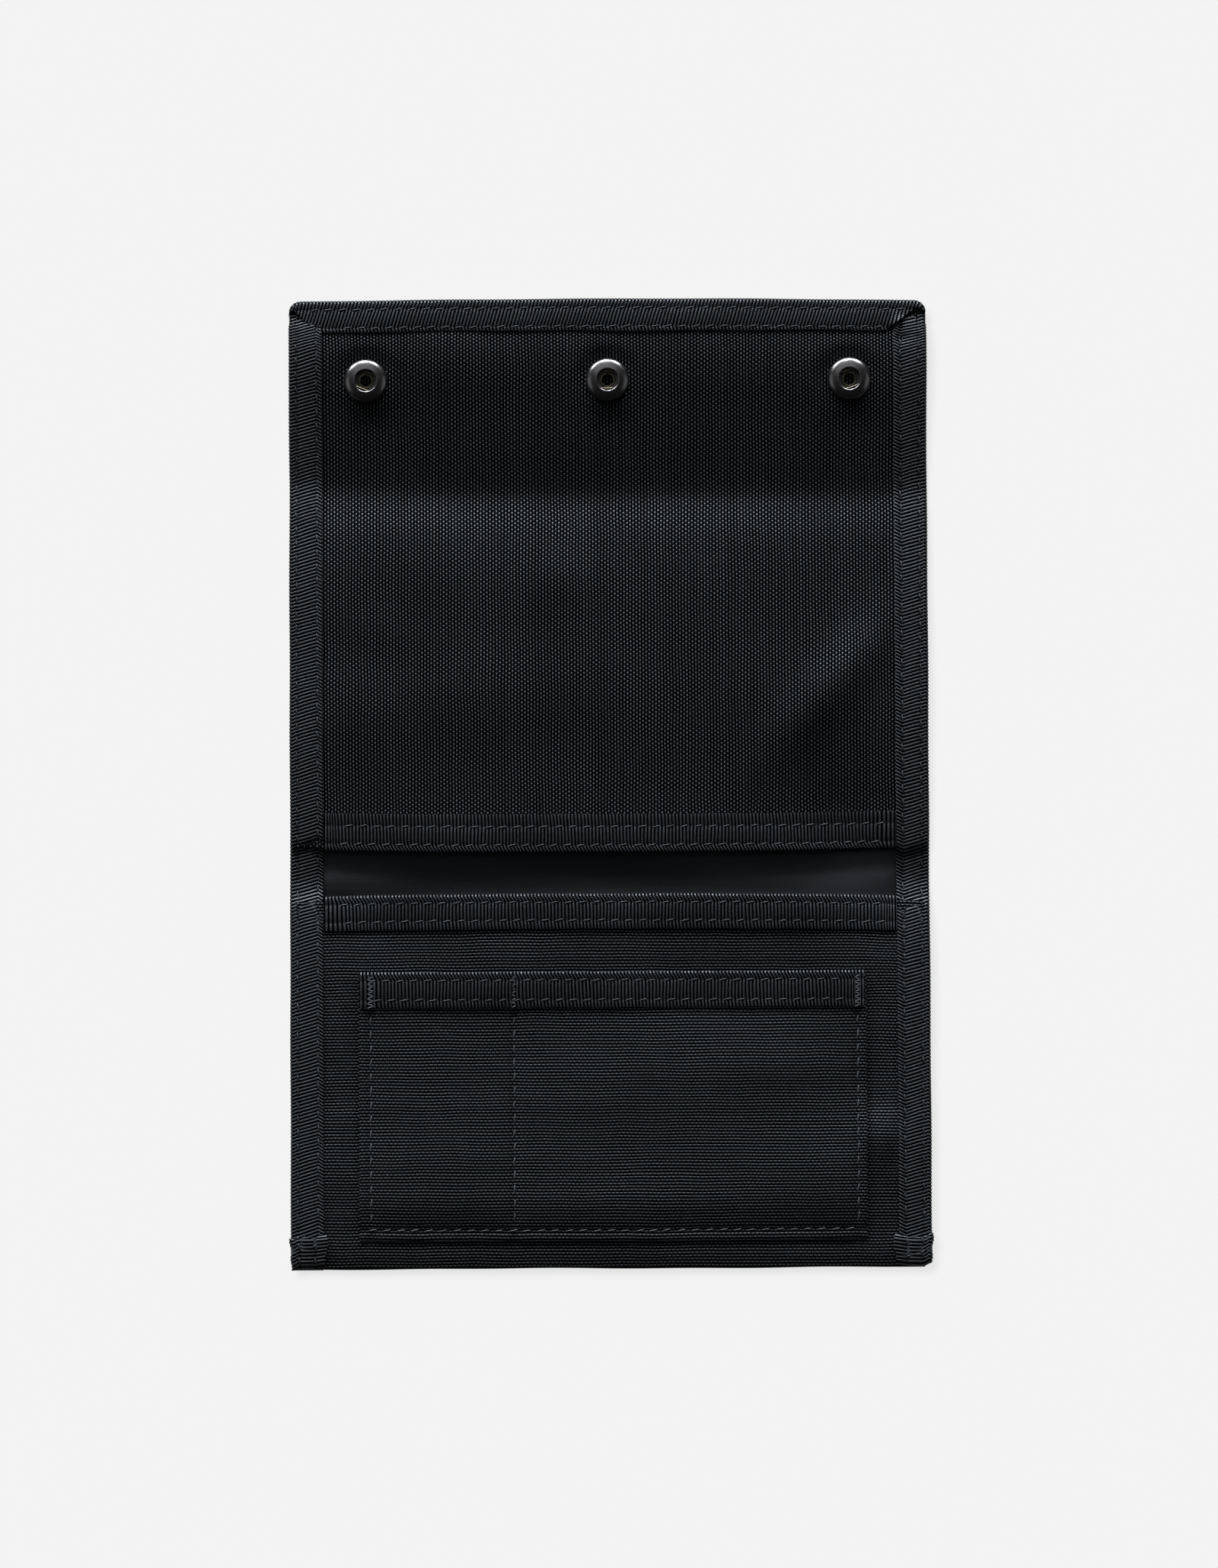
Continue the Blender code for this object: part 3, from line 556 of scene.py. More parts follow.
MATERIAL = {
    "upper_weave": weave_material("nylon_weave_lengthwise", turned=False),
    "lower_weave": weave_material("nylon_weave_crosswise", turned=True),
    "tape": tape_material("grosgrain_ribs"),
    "lining": lining_material(),
    "thread": thread_material("tape_thread", (0.036, 0.039, 0.043)),
    # The card seams' thread is the tape thread painted lighter: a painted highlight
    "seam_thread_painted_highlight": thread_material("seam_thread_painted_highlight", (0.095, 0.101, 0.111)),
    "gunmetal": metal_material("gunmetal_plating", (0.22, 0.22, 0.23), 0.26, 0.06),
    "brass": metal_material("bright_plating", (0.30, 0.27, 0.21), 0.32, 0.20),
}

# ---------------------------------------------------------------- layer heights

UPPER_MOUTH_LIFT = 1.0
LOWER_MOUTH_LIFT = 2.5
BOTTOM_ROLL = 6.5
BOTTOM_ROLL_DROP = 0.85


def middle_share(x):
    """0 at the side bindings and 1 further in."""
    return ramp(np.abs(x), CLOTH_HALF_WIDTH - 4.0, -22.0)


def mouth_lift(x, y, mouth_y, facing, lift):
    """The pocket mouths stand a little open. facing is +1 if the mouth looks towards +Y."""
    distance = np.maximum((mouth_y - y) * facing, 0.0)
    return lift * np.exp(-distance / 9.0) * (0.35 + 0.65 * middle_share(x))


def fold_drop(y):
    """How much lower the lining and the shell hang in the main fold, which is rounder there."""
    soft = main_valley(y + 1.7, LINING_VALLEY_ROUNDING, flat=1.7)
    return np.minimum(soft - main_valley(y), 0.0)


def shell_top(x, y):
    return SHELL_HIGH.z + 0.9 * cloth_relief(x, y) + fold_drop(y) - 0.1


def lining_top(x, y):
    """The lining, which rises a little at both ends of the main fold."""
    from_fold = y - MAIN_SPINE_MID_Y
    ends = ramp(np.abs(x), 30.0, 44.0) * bell(from_fold + 1.5, 4.6) * (1.0 - 0.6 * ramp(np.abs(x), 69.5, 3.0))
    ripple = 0.10 * np.sin(x / 9.0 + y / 3.0) * bell(from_fold, 5.0)
    return LINING_HIGH.z + cloth_relief(x, y) + fold_drop(y) + 0.9 * ends + ripple


def upper_front_top(x, y):
    """The inner panel: pocket front on the middle panel, then down onto the flap's lining."""
    pocket = ramp(y, CREASE_AT_Y - 1.0, -12.0)
    flat = FLAP_INNER_TOP_Z + (FRONT_TOP_Z - FLAP_INNER_TOP_Z) * pocket
    return flat + cloth_relief(x, y) + mouth_lift(x, y, UPPER_MOUTH_Y, -1, UPPER_MOUTH_LIFT)


def lower_front_top(x, y):
    """The lower pocket's front, which rolls down at the wallet's bottom."""
    flat = FRONT_TOP_Z + 0.25 * middle_share(x)
    roll = np.clip((BOTTOM_Y + BOTTOM_ROLL - y) / BOTTOM_ROLL, 0.0, 1.0)
    drop = BOTTOM_ROLL_DROP * (1.0 - np.sqrt(1.0 - roll * roll))
    return flat - drop + cloth_relief(x, y) + mouth_lift(x, y, LOWER_MOUTH_Y, 1, LOWER_MOUTH_LIFT)


def upper_mouth_shift(x, y):
    """In-plane bow of the upper pocket mouth, which curves away from the fold at its ends."""
    return 0.9 * (np.abs(x) / CLOTH_HALF_WIDTH) ** 3 * ramp(y, UPPER_MOUTH_Y + 30.0, -30.0)


def lower_mouth_shift(x, y):
    side = x / CLOTH_HALF_WIDTH
    return (-0.7 * np.abs(side) ** 3 - 0.3 * ramp(side, 0.0, 1.0)) * ramp(y, LOWER_MOUTH_Y - 30.0, 30.0)


# ---------------------------------------------------------------- cloths

BLEND_MAIN = 2.6
BLEND_FLAP = 4.4
CLOTH_END_INSET = 1.8
MOUTH_INSET = 0.5

# The four stretches between the middles of the spines and of the middle panel, and the bodies, hinge and blend
# reach that each spans
STRETCHES = (
    ("lower", BOTTOM_Y, MAIN_SPINE_MID_Y, "lower_panel", "main_spine", LOWER_HINGE_Y, BLEND_MAIN),
    ("fold", MAIN_SPINE_MID_Y, MIDDLE_PANEL_MID_Y, "main_spine", "middle_panel", MIDDLE_HINGE_Y, BLEND_MAIN),
    ("crease", MIDDLE_PANEL_MID_Y, FLAP_SPINE_MID_Y, "middle_panel", "flap_spine", CREASE_HINGE_Y, BLEND_FLAP),
    ("flap", FLAP_SPINE_MID_Y, TOP_Y, "flap_spine", "flap", FLAP_HINGE_Y, BLEND_FLAP),
)
SHELL_NODES = {
    "lower": ["lower_outer_shell"],
    "fold": ["main_spine_shell"],
    "crease": ["middle_outer_shell"],
    "flap": ["flap_spine_shell", "flap_outer_shell"],
}
LINING_NODES = {
    "lower": ["lower_lining"],
    "fold": ["main_spine_lining"],
    "crease": ["middle_lining"],
    "flap": ["flap_spine_lining", "flap_lining"],
}


def blend_over(piece, body_a, body_b, hinge_y, half):
    start, end = ((0.0, (hinge_y + reach) * MM, 0.0) for reach in (-half, half))
    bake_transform(piece)


def ride_on(body, slot, *pieces):
    for piece in pieces:
        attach(piece, body)


def flat_size(width, length):
    return width * MM, length * MM


def make_long_cloths():
    """Outer shell and lining, each cut in four where the bodies change."""
    layers = (
        ("outer_shell_", shell_top, SHELL_HIGH.z - SHELL_LOW.z, "lower_weave", "shell_nylon", SHELL_NODES),
        ("lining_", lining_top, LINING_HIGH.z - LINING_LOW.z, "lining", "coated_lining", LINING_NODES),
    )
    for label, y_low, y_high, *bend in STRETCHES:
        y_start = y_low + 3.0 if label == "lower" else y_low
        y_end = y_high - CLOTH_END_INSET if label == "flap" else y_high
        for prefix, top, thickness, material, slot, nodes in layers:
            piece = cloth_sheet(prefix + label, y_start, y_end, top, thickness, material)
            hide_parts(*nodes[label])
            blend_over(piece, *bend)
            flat_size(2.0 * CLOTH_HALF_WIDTH, y_end - y_start)


def make_inner_panels():
    """The inner panel, in two stretches."""
    panels = (
        ("upper_inner_panel", UPPER_MOUTH_Y + MOUTH_INSET, FLAP_SPINE_MID_Y, upper_mouth_shift, STRETCHES[2],
         ["upper_pocket_front"], "lining_crease"),
        ("flap_inner_cloth", FLAP_SPINE_MID_Y, TOP_Y - CLOTH_END_INSET, end_draw, STRETCHES[3],
         ["flap_spine_inner_panel", "flap_inner_panel"], "lining_flap"),
    )
    for name, y_low, y_high, shift, stretch, nodes, under in panels:
        piece = cloth_sheet(name, y_low, y_high, upper_front_top, CLOTH_THICKNESS, "upper_weave", shift)
        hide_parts(*nodes)
        blend_over(piece, *stretch[3:])
        flat_size(2.0 * CLOTH_HALF_WIDTH, y_high - y_low)


def make_lower_front():
    """Lower pocket front: up from under the shell's edge, round the bottom fold and on to the mouth."""
    xs = spread(-CLOTH_HALF_WIDTH, CLOTH_HALF_WIDTH, SHEET_STEP, (0.0,))
    radius = float(lower_front_top(0.0, BOTTOM_Y) - SHELL_LOW.z) / 2.0
    path = [("under", y) for y in np.linspace(BOTTOM_Y + 3.2, BOTTOM_Y + radius, 3)]
    path += [("nose", math.radians(angle)) for angle in np.linspace(-90.0, -270.0, 13)[1:-1]]
    path += [("top", y) for y in spread(BOTTOM_Y + radius, LOWER_MOUTH_Y - MOUTH_INSET, 1.3)]
    outer = []
    inner = []
    for kind, place in path:
        if kind == "top":
            moved = place + lower_mouth_shift(xs, place)
            points = grid_of(taper(xs, place), moved, lower_front_top(xs, moved))
            out = (0.0, 0.0, 1.0)
        elif kind == "under":
            points = grid_of(xs, place, SHELL_LOW.z)
            out = (0.0, 0.0, -1.0)
        else:
            ripple = 0.10 * np.sin(xs / 13.0) + 0.07 * np.sin(xs / 5.3 + 1.0)
            half_height = (lower_front_top(xs, BOTTOM_Y + radius) - SHELL_LOW.z) / 2.0
            y = BOTTOM_Y + radius + (radius + ripple) * math.cos(place)
            points = grid_of(xs, y, SHELL_LOW.z + half_height * (1.0 + math.sin(place)))
            out = (0.0, math.cos(place), math.sin(place))
        outer.append(points)
        inner.append(points - CLOTH_THICKNESS * np.array(out))
    outer = np.array(outer)
    steps = np.linalg.norm(np.diff(outer[:, len(xs) // 2], axis=0), axis=1)
    along = BOTTOM_Y + np.concatenate([[0.0], np.cumsum(steps)])
    uv = grid_of(xs, along[:, None]) * MM
    front = closed_grid("lower_pocket_front_cloth", outer, np.array(inner), uv, MATERIAL["lower_weave"])
    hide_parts("lower_pocket_front")
    ride_on("lower_panel", "shell_nylon", front)
    size = flat_size(2.0 * CLOTH_HALF_WIDTH, float(steps.sum()))


# ---------------------------------------------------------------- tapes

NOSE_SHARE = 0.62
NOSE_STEPS = 8
LOW_STEPS = 5
STITCH_DIP = 0.34
TAPE_PUFF = 0.20
FLAT_TAPE = 0.4


def fold_section(top_leg, low_leg, z_low, z_top, rows):
    """Points round a folded tape from its upper inner edge to its lower one.

    Returns (distance in from the outer edge, height) points, outward normals in that plane, the distance
    along the tape from the nose, and how far up the upper leg and whether on it each point lies.
    """
    radius = (z_top - z_low) / 2.0
    nose = NOSE_SHARE * radius
    first, second = rows
    shares = [1.0, 0.955, 0.88] + [second + step for step in (0.075, 0.03, 0.0, -0.03, -0.08)]
    shares += [first + share * (second - first) for share in (0.62, 0.35)]
    shares += [first + step for step in (0.09, 0.035, 0.0, -0.035, -0.08)]
    places = [(nose + (top_leg - nose) * share, z_top) for share in shares]
    normals = [(0.0, 1.0)] * len(shares)
    for k in range(NOSE_STEPS + 1):
        angle = math.pi * (0.5 + k / NOSE_STEPS)
        places.append((nose + nose * math.cos(angle), z_low + radius + radius * math.sin(angle)))
        across, up = math.cos(angle) * radius, math.sin(angle) * nose
        normals.append((across / math.hypot(across, up), up / math.hypot(across, up)))
    for k in range(LOW_STEPS):
        places.append((nose + (low_leg - nose) * (k + 1) / LOW_STEPS, z_low))
        normals.append((0.0, -1.0))
    places = np.array(places)
    along = np.concatenate([[0.0], np.cumsum(np.linalg.norm(np.diff(places, axis=0), axis=1))])
    along -= along[len(shares) + NOSE_STEPS // 2]
    rest = [0.0] * (len(places) - len(shares))
    return places, np.array(normals), along, np.array(shares + rest), np.array([1.0] * len(shares) + rest)


def lean_offset(distance, leans):
    """How far a rib has moved sideways at this distance from the edge, from (from, to, lean) spans."""
    return sum(lean * (np.clip(distance, start, end) - start) for start, end, lean in leans)


def tape_piece(
    name, frame_of, start, end, legs, heights, leans, rows, seed, straight_ends=False, puffed=1.0,
):
    """Ribbed tape folded over an edge, whose ends follow its ribs.

    frame_of(along, inward, height) turns tape coordinates into points. legs(along) and heights(along)
    give the widths of its upper and lower legs and its low and top heights there.
    """
    ribs = range(math.floor(start / RIB_PITCH), math.ceil(end / RIB_PITCH))
    phases = [k + sample for k in ribs for sample in RIB_SAMPLES]
    phases = [phase for phase in phases if start - 0.0001 <= phase * RIB_PITCH < end - 0.05]
    phases.append(end / RIB_PITCH)
    wobble = np.random.default_rng(seed).uniform(0.0, FULL_TURN, 6)
    outer = []
    inner = []
    uv = []
    for phase in phases:
        along = phase * RIB_PITCH
        z_low, z_top = heights(along)
        top_leg, low_leg = legs(along)
        nose = NOSE_SHARE * (z_top - z_low) / 2.0
        first_share, second_share = ((row - nose) / (top_leg - nose) for row in rows)
        second_share = min(second_share, 0.84)
        first_share = min(first_share, 0.45 * second_share)
        section = fold_section(top_leg, low_leg, z_low, z_top, (first_share, second_share))
        places, normals, distance, shares, on_top = section
        inward = places[:, 0]
        swing = 0.16 * np.sin(along / 9.0 + wobble[0] + inward / 6.0)
        swing = swing + 0.06 * np.sin(along / 2.3 + wobble[1] + inward / 2.5)
        sideways = lean_offset(inward, leans) + swing * ramp(inward, 0.0, 4.0)
        if straight_ends:
            sideways = sideways * ramp(min(along - start, end - along), 0.0, 5.0)
        station = along + sideways * on_top
        between = np.clip((inward - rows[0]) / (rows[1] - rows[0]), 0.0, 1.0)
        puff = np.sin(between * math.pi) + 0.5 * np.sin(np.clip(inward / rows[0], 0.0, 1.0) * math.pi)
        pull = 0.8 + 0.2 * np.cos(FULL_TURN * along / STITCH_PITCH)
        dip = pull * sum(STITCH_DIP * bell(inward - row, 0.45) for row in rows)
        crown = 1.0 - abs(2.0 * (phase - math.floor(phase)) - 1.0) ** 2.6
        uneven = 0.05 * np.sin(along / 6.1 + wobble[2] + inward / 3.0)
        lift = RIB_HEIGHT * (crown - 0.5) + puffed * (TAPE_PUFF * puff - dip) * on_top + uneven
        lift = (lift - 0.10 * ramp(shares, 0.93, 0.07))[:, None]
        for side, points in ((outer, places + normals * lift), (inner, places - normals * TAPE_THICKNESS)):
            side.append(frame_of(station, points[:, 0], points[:, 1]))
        uv.append(grid_of(phase, distance * MM))
    return closed_grid(name, np.array(outer), np.array(inner), np.array(uv), MATERIAL["tape"], 85.0)


def steady(*values):
    """The same values all along a tape."""
    return lambda along: values


# ---------------------------------------------------------------- sewing thread

THREAD_SIDES = 6
THREAD_STEPS = 6
THREAD_TWIST = 2.2


def thread_piece(name, paths, material="thread", radius=STITCH_RADIUS):
    """Short runs of thread, each a tapered tube along its points. All runs have equally many points."""
    paths = np.array(paths)
    runs, count = paths.shape[:2]
    tangent = np.gradient(paths, axis=1)
    tangent /= np.linalg.norm(tangent, axis=-1, keepdims=True)
    side = np.cross(tangent, (0.0, 0.0, 1.0))
    side /= np.maximum(np.linalg.norm(side, axis=-1, keepdims=True), 1e-9)
    over = np.cross(side, tangent)
    turns = turn_angles(THREAD_SIDES)[:, None]
    around = np.cos(turns) * side[:, :, None] + np.sin(turns) * over[:, :, None]
    share = np.linspace(0.0, 1.0, count)
    size = radius * (0.45 + 0.55 * np.minimum(1.0, 5.0 * np.minimum(share, 1.0 - share)))
    verts = paths[:, :, None] + size[:, None, None] * around
    steps = np.linalg.norm(np.diff(paths, axis=1), axis=-1)
    along = np.concatenate([np.zeros((runs, 1)), np.cumsum(steps, axis=1)], axis=1)
    uv = grid_of(along[..., None] / THREAD_TWIST, np.arange(THREAD_SIDES) / THREAD_SIDES)
    cap = np.array([(3, 2, 1, 0), (5, 4, 3, 0)])
    last_ring = (count - 1) * THREAD_SIDES
    quads = np.concatenate([tube_quads(count, THREAD_SIDES), cap, cap[:, ::-1] + last_ring])
    quads = (quads + np.arange(runs)[:, None, None] * count * THREAD_SIDES).reshape(-1, 4)
    return mesh_from_arrays(name, verts, quads, uv, MATERIAL[material])


def stitch_paths(surface_point, start, end, row, slant=0.22, seed=0):
    """Stitches of one row. surface_point(along, inward, lift) gives a point over the sewn surface."""
    length, sink, rise = 2.5, 0.42, 0.06
    rng = np.random.default_rng(seed)
    paths = []
    for index in range(math.ceil(start / STITCH_PITCH), math.floor(end / STITCH_PITCH) + 1):
        jitter = rng.uniform(-0.12, 0.12, 3)
        tilt = slant * rng.uniform(0.6, 1.4)
        path = []
        for t in np.linspace(-1.0, 1.0, THREAD_STEPS + 1):
            along = index * STITCH_PITCH + jitter[0] + t * length / 2.0
            path.append(surface_point(along, row + jitter[1] * 0.6 + tilt * t, rise - sink * abs(t) ** 2.5))
        paths.append(path)
    return paths


def tape_thread_point(frame_of, heights, puffed=1.0, shift=0.0):
    """Surface points for stitches over a tape's upper leg, moved on along it by shift."""

    def point(along, inward, lift):
        z_top = heights(along + shift)[1] - puffed * STITCH_DIP * 0.75 + 0.10
        return frame_of(np.array(along + shift), np.array(inward), np.array(z_top + lift))

    return point


def under_thread_point(frame_of, heights, shift=0.0):
    """Surface points for stitches under a tape's lower leg, moved on along it by shift."""

    def point(along, inward, lift):
        z_low = heights(along + shift)[0] - 0.05
        return frame_of(np.array(along + shift), np.array(inward), np.array(z_low - lift))

    return point


# ---------------------------------------------------------------- side bindings

FLOOR_CLEARANCE = 0.08
CORNER_TUCK = 0.45
CORNER_HOLLOW = 0.5


def side_frame(side):
    """Side binding: along is +Y, and inward runs from the outer edge towards the middle."""

    def place(station, inward, height):
        middle = (FLAP_INNER_TOP_Z + SHELL_LOW.z) / 2.0
        tucked = ramp(station, TOP_Y - 7.0, 3.5)
        squeezed = middle + (height - middle) * (1.0 - 0.30 * tucked)
        x = HALF_WIDTH - inward - CORNER_TUCK * tucked
        if side > 0:
            hollow = CORNER_HOLLOW * bell(x - (HALF_WIDTH - 6.1), 2.0) * bell(station - (TOP_Y - 10.7), 1.7)
            squeezed = squeezed - hollow * (height > middle)
        relief = cloth_relief(side * (HALF_WIDTH - 4.0), station)
        z = np.maximum(squeezed + relief, FLOOR_CLEARANCE)
        return grid_of(taper(side * x, station), station + end_draw(side * x, station), z)

    return place


def side_heights(along):
    """Underside and top of the side binding, which is thinner where no pocket front is in it."""
    gap = 0.8 * ramp(along, LOWER_MOUTH_Y - 3.0, 4.0) * ramp(along, UPPER_MOUTH_Y + 3.0, -4.0)
    flap = ramp(along, CREASE_AT_Y - 8.0, 10.0)
    top = PANEL_BINDING_TOP + (SPINE_BINDING_TOP - PANEL_BINDING_TOP) * gap
    return BINDING_LOW_Z, float(top + (FLAP_BINDING_TOP - PANEL_BINDING_TOP) * flap)


# Each side's name, stitch rows, rib leans and random seed
SIDES = {
    -1: ("left", (1.9, 7.0), ((0.0, 1.9, 0.18), (1.9, 7.0, 0.30), (7.0, 8.4, -0.65)), 4),
    1: ("right", (1.9, 6.5), ((0.0, 1.9, -0.18), (1.9, 6.5, -0.30), (6.5, 8.4, 0.50)), 5),
}
SIDE_NODES = {
    "lower": ["binding_lower"],
    "fold": ["binding_main_spine"],
    "crease": ["binding_middle"],
    "flap": ["binding_flap_spine", "binding_flap"],
}


def make_side_bindings():
    for side, (side_name, rows, leans, seed) in SIDES.items():
        frame_of = side_frame(side)
        for label, y_low, y_high, *bend in STRETCHES:
            y_start = y_low + 4.2 if label == "lower" else y_low
            y_end = y_high - 2.4 if label == "flap" else y_high
            start, end = (math.floor(y / RIB_PITCH) * RIB_PITCH for y in (y_start, y_end))
            tape = tape_piece(
                f"{side_name}_binding_tape_{label}", frame_of, start, end,
                steady(BINDING_WIDTH, BINDING_WIDTH), side_heights, leans, rows, seed,
            )
            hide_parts(*[side_name + "_" + node for node in SIDE_NODES[label]])
            sewn_start = start + 8.0 if label == "lower" else start
            sewn_end = TOP_Y - 10.0 if label == "flap" else end
            paths = []
            for number, (row, shift) in enumerate(zip(rows, (0.0, 1.3))):
                span = (sewn_start, sewn_end - shift - 1.0, row)
                over = tape_thread_point(frame_of, side_heights, shift=shift)
                under = under_thread_point(frame_of, side_heights, shift)
                paths += stitch_paths(over, *span, slant=0.26 * side, seed=31 + number)
                paths += stitch_paths(under, *span, seed=41 + number)
            for piece in (tape, thread_piece(f"{side_name}_binding_thread_{label}", paths)):
                blend_over(piece, *bend)
        make_folded_end(side, side_name, frame_of)


def make_folded_end(side, side_name, frame_of):
    """The tape's end, folded under itself and sewn down: a lump at the bottom corner."""
    low_y = BOTTOM_Y + (0.0 if side < 0 else 0.5)
    high_y = BOTTOM_Y + 8.1
    width = 9.0 if side < 0 else 9.4
    rows = (2.4, 6.3)

    def lump_heights(along):
        low, top = BINDING_LOW_Z - 0.25, PANEL_BINDING_TOP + 0.36 + 0.07 * (along - high_y)
        near = min(max((along - low_y) / 1.6, 0.0), 1.0)
        far = min(max((high_y - along) / 1.5, 0.0), 1.0)
        round_low = math.sqrt(1.0 - (1.0 - near) ** 2)
        round_high = 0.62 + 0.38 * math.sqrt(1.0 - (1.0 - far) ** 2)
        middle, half = (low + top) / 2.0, (top - low) / 2.0 * max(0.45, round_low * round_high)
        return middle - half, middle + half

    def lump_legs(along):
        ripple = 0.25 * math.sin(along / 1.1) + 0.2 * math.sin(along / 2.3 + 1.0)
        return width + ripple, width - 0.8

    def lump_frame(station, inward, height):
        station = station + 0.36 * side
        ragged = 0.16 * np.sin(station / 0.75) + 0.18 * np.sin(station / 1.9 + 2.0)
        return frame_of(station, inward - 0.15 + ragged * ramp(inward, 3.0, -3.0), height)

    leans = ((0.0, 2.4, -0.30 * side), (2.4, 6.3, 0.02), (6.3, 9.4, 0.12))
    tape = tape_piece(
        side_name + "_binding_folded_end", lump_frame, low_y, high_y, lump_legs, lump_heights, leans, rows,
        seed=8 + side,
    )
    point = tape_thread_point(lump_frame, lump_heights)
    paths = stitch_paths(point, low_y + 1.9, high_y - 0.6, rows[0], slant=0.35 * side, seed=51)
    paths += stitch_paths(point, low_y + 1.9, high_y - 0.6, rows[1], slant=0.3 * side, seed=52)
    ride_on("lower_panel", "grosgrain_tape", tape, thread_piece(side_name + "_folded_end_thread", paths))


# ---------------------------------------------------------------- mouth tapes and end binding


def mouth_frame(edge_y, facing, surface_top, shift):
    """Mouth tape: along is +X, and inward runs from the mouth into the pocket's cloth."""

    def place(station, inward, height):
        y = edge_y - facing * inward
        moved = y + shift(station, y)
        return grid_of(taper(station, y), moved, height + surface_top(station, moved) - FRONT_TOP_Z)

    return place


MOUTH_LEANS_UP = ((0.0, 2.1, 0.42), (6.9, 9.8, 0.10))
MOUTH_LEANS_DOWN = ((0.0, 1.9, -0.42), (6.5, 9.8, -0.06))


def tape_run(name, node, body, frame_of, ends, widths, leans, rows, seed, slant):
    """A pocket mouth's tape with its two rows of stitches."""
    low, high = box(node)
    start, end = ends
    heights = steady(low.z, high.z)
    legs = steady(*widths)
    tape = tape_piece(name, frame_of, start, end, legs, heights, leans, rows, seed, True, FLAT_TAPE)
    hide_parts(node)
    paths = []
    for number, (row, shift) in enumerate(zip(rows, (0.0, 1.2))):
        point = tape_thread_point(frame_of, heights, FLAT_TAPE, shift)
        paths += stitch_paths(point, start + 2.5, end - 4.0, row, slant, seed + 60 + number)
    ride_on(body, "grosgrain_tape", tape, thread_piece(name + "_thread", paths))


def make_mouth_tapes():
    half = UPPER_TAPE_HIGH.x
    tape_run(
        "upper_mouth_tape", "upper_pocket_tape", "middle_panel",
        mouth_frame(UPPER_MOUTH_Y - 0.4, -1, upper_front_top, upper_mouth_shift), (-half, half),
        (MOUTH_TAPE_WIDTH, MOUTH_TAPE_WIDTH - 0.6), MOUTH_LEANS_DOWN, (1.9, 6.5), seed=1, slant=0.25,
    )
    tape_run(
        "lower_mouth_tape", "lower_pocket_tape", "lower_panel",
        mouth_frame(LOWER_MOUTH_Y + 0.6, 1, lower_front_top, lower_mouth_shift), (-half, half),
        (MOUTH_TAPE_WIDTH - 0.9, MOUTH_TAPE_WIDTH - 0.9), MOUTH_LEANS_UP, (2.1, 6.6), seed=2, slant=-0.25,
    )
    tape_run(
        "card_mouth_tape", "card_pocket_tape", "lower_panel",
        mouth_frame(CARD_MOUTH_Y + 0.5, 1, card_base_top, lambda x, y: 0.0),
        (CARD_LOW.x + 0.1, CARD_HIGH.x - 0.5),
        (CARD_TAPE_WIDTH, CARD_TAPE_WIDTH - 0.6), MOUTH_LEANS_UP, (2.1, 7.0), seed=3, slant=-0.25,
    )


END_CORNER_RADIUS = 3.0
END_ROWS = (2.3, 7.1)
END_LEANS = ((0.0, 2.2, -0.22), (2.2, 7.2, -0.30), (7.2, 9.2, 0.25))
CORNER_LIP = 1.4


def end_frame(station, inward, height):
    """End binding, following the rounded corners of the flap."""
    past = np.clip(np.abs(station) - (HALF_WIDTH - END_CORNER_RADIUS), 0.0, END_CORNER_RADIUS)
    drop = END_CORNER_RADIUS - np.sqrt(np.maximum(END_CORNER_RADIUS ** 2 - past ** 2, 0.0))
    y = TOP_Y - drop - inward * (1.0 - drop / END_BINDING_WIDTH)
    middle = (FLAP_BINDING_TOP + BINDING_LOW_Z) / 2.0
    round_off = ramp(np.abs(station), HALF_WIDTH - 1.3, 1.3)
    relief = cloth_relief(station, TOP_Y - 7.0) - 0.3 * FLAP_RISE_SLOPE * (y - (TOP_Y - 7.0))
    lip = CORNER_LIP * bell(station - (HALF_WIDTH - 6.3), 2.1) * ramp(inward, 3.0, 4.0) * (height > middle)
    z = middle + (height - middle) * (1.0 - 0.5 * round_off) + relief + lip
    x = np.clip(station, -HALF_WIDTH, HALF_WIDTH)
    return grid_of(taper(x, y), y + end_draw(x, y), z)


def end_legs(along):
    """The end binding's inner edge runs out to the corners, as a mitre."""
    past_mitre = abs(along) - (HALF_WIDTH - BINDING_WIDTH - 0.2)
    mitre = (0.95 if along < 0.0 else 1.02) * max(past_mitre, 0.0)
    wave = 0.14 * math.sin(along / 14.0 + 0.6) + 0.08 * math.sin(along / 5.0)
    return max(END_BINDING_WIDTH - 0.7 - mitre + wave, 1.7), END_BINDING_WIDTH - 1.0


def make_end_binding():
    half = HALF_WIDTH - 0.12
    heights = steady(BINDING_LOW_Z, FLAP_BINDING_TOP)
    tape = tape_piece(
        "flap_end_tape", end_frame, -half, half, end_legs, heights, END_LEANS, END_ROWS, seed=6,
        puffed=FLAT_TAPE,
    )
    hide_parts("flap_end_binding")
    paths = []
    for number, (row, inset, shift) in enumerate(zip(END_ROWS, (3.0, 10.5), (0.0, 1.4))):
        over = tape_thread_point(end_frame, heights, FLAT_TAPE, shift)
        under = under_thread_point(end_frame, heights, shift)
        for point, seed in ((over, 71), (under, 81)):
            paths += stitch_paths(point, inset - half, half - inset - 1.4, row, -0.28, seed + number)
    ride_on("flap", "grosgrain_tape", tape, thread_piece("flap_end_thread", paths))


# ---------------------------------------------------------------- card pocket

CARD_DIVIDER_X = -24.1
CARD_SEAM_INSET = 2.6
CARD_BOTTOM_SEAM_Y = CARD_LOW.y + 2.5
CARD_SEAMS_X = (CARD_LOW.x + CARD_SEAM_INSET + 0.3, CARD_DIVIDER_X, CARD_HIGH.x - CARD_SEAM_INSET + 0.4)
CARD_CROWN = 0.30
SEAM_THREAD_RADIUS = 0.17


def seam_pull(distance, depth, reach=1.1):
    return depth * np.exp(-np.abs(distance / reach) ** 1.6)


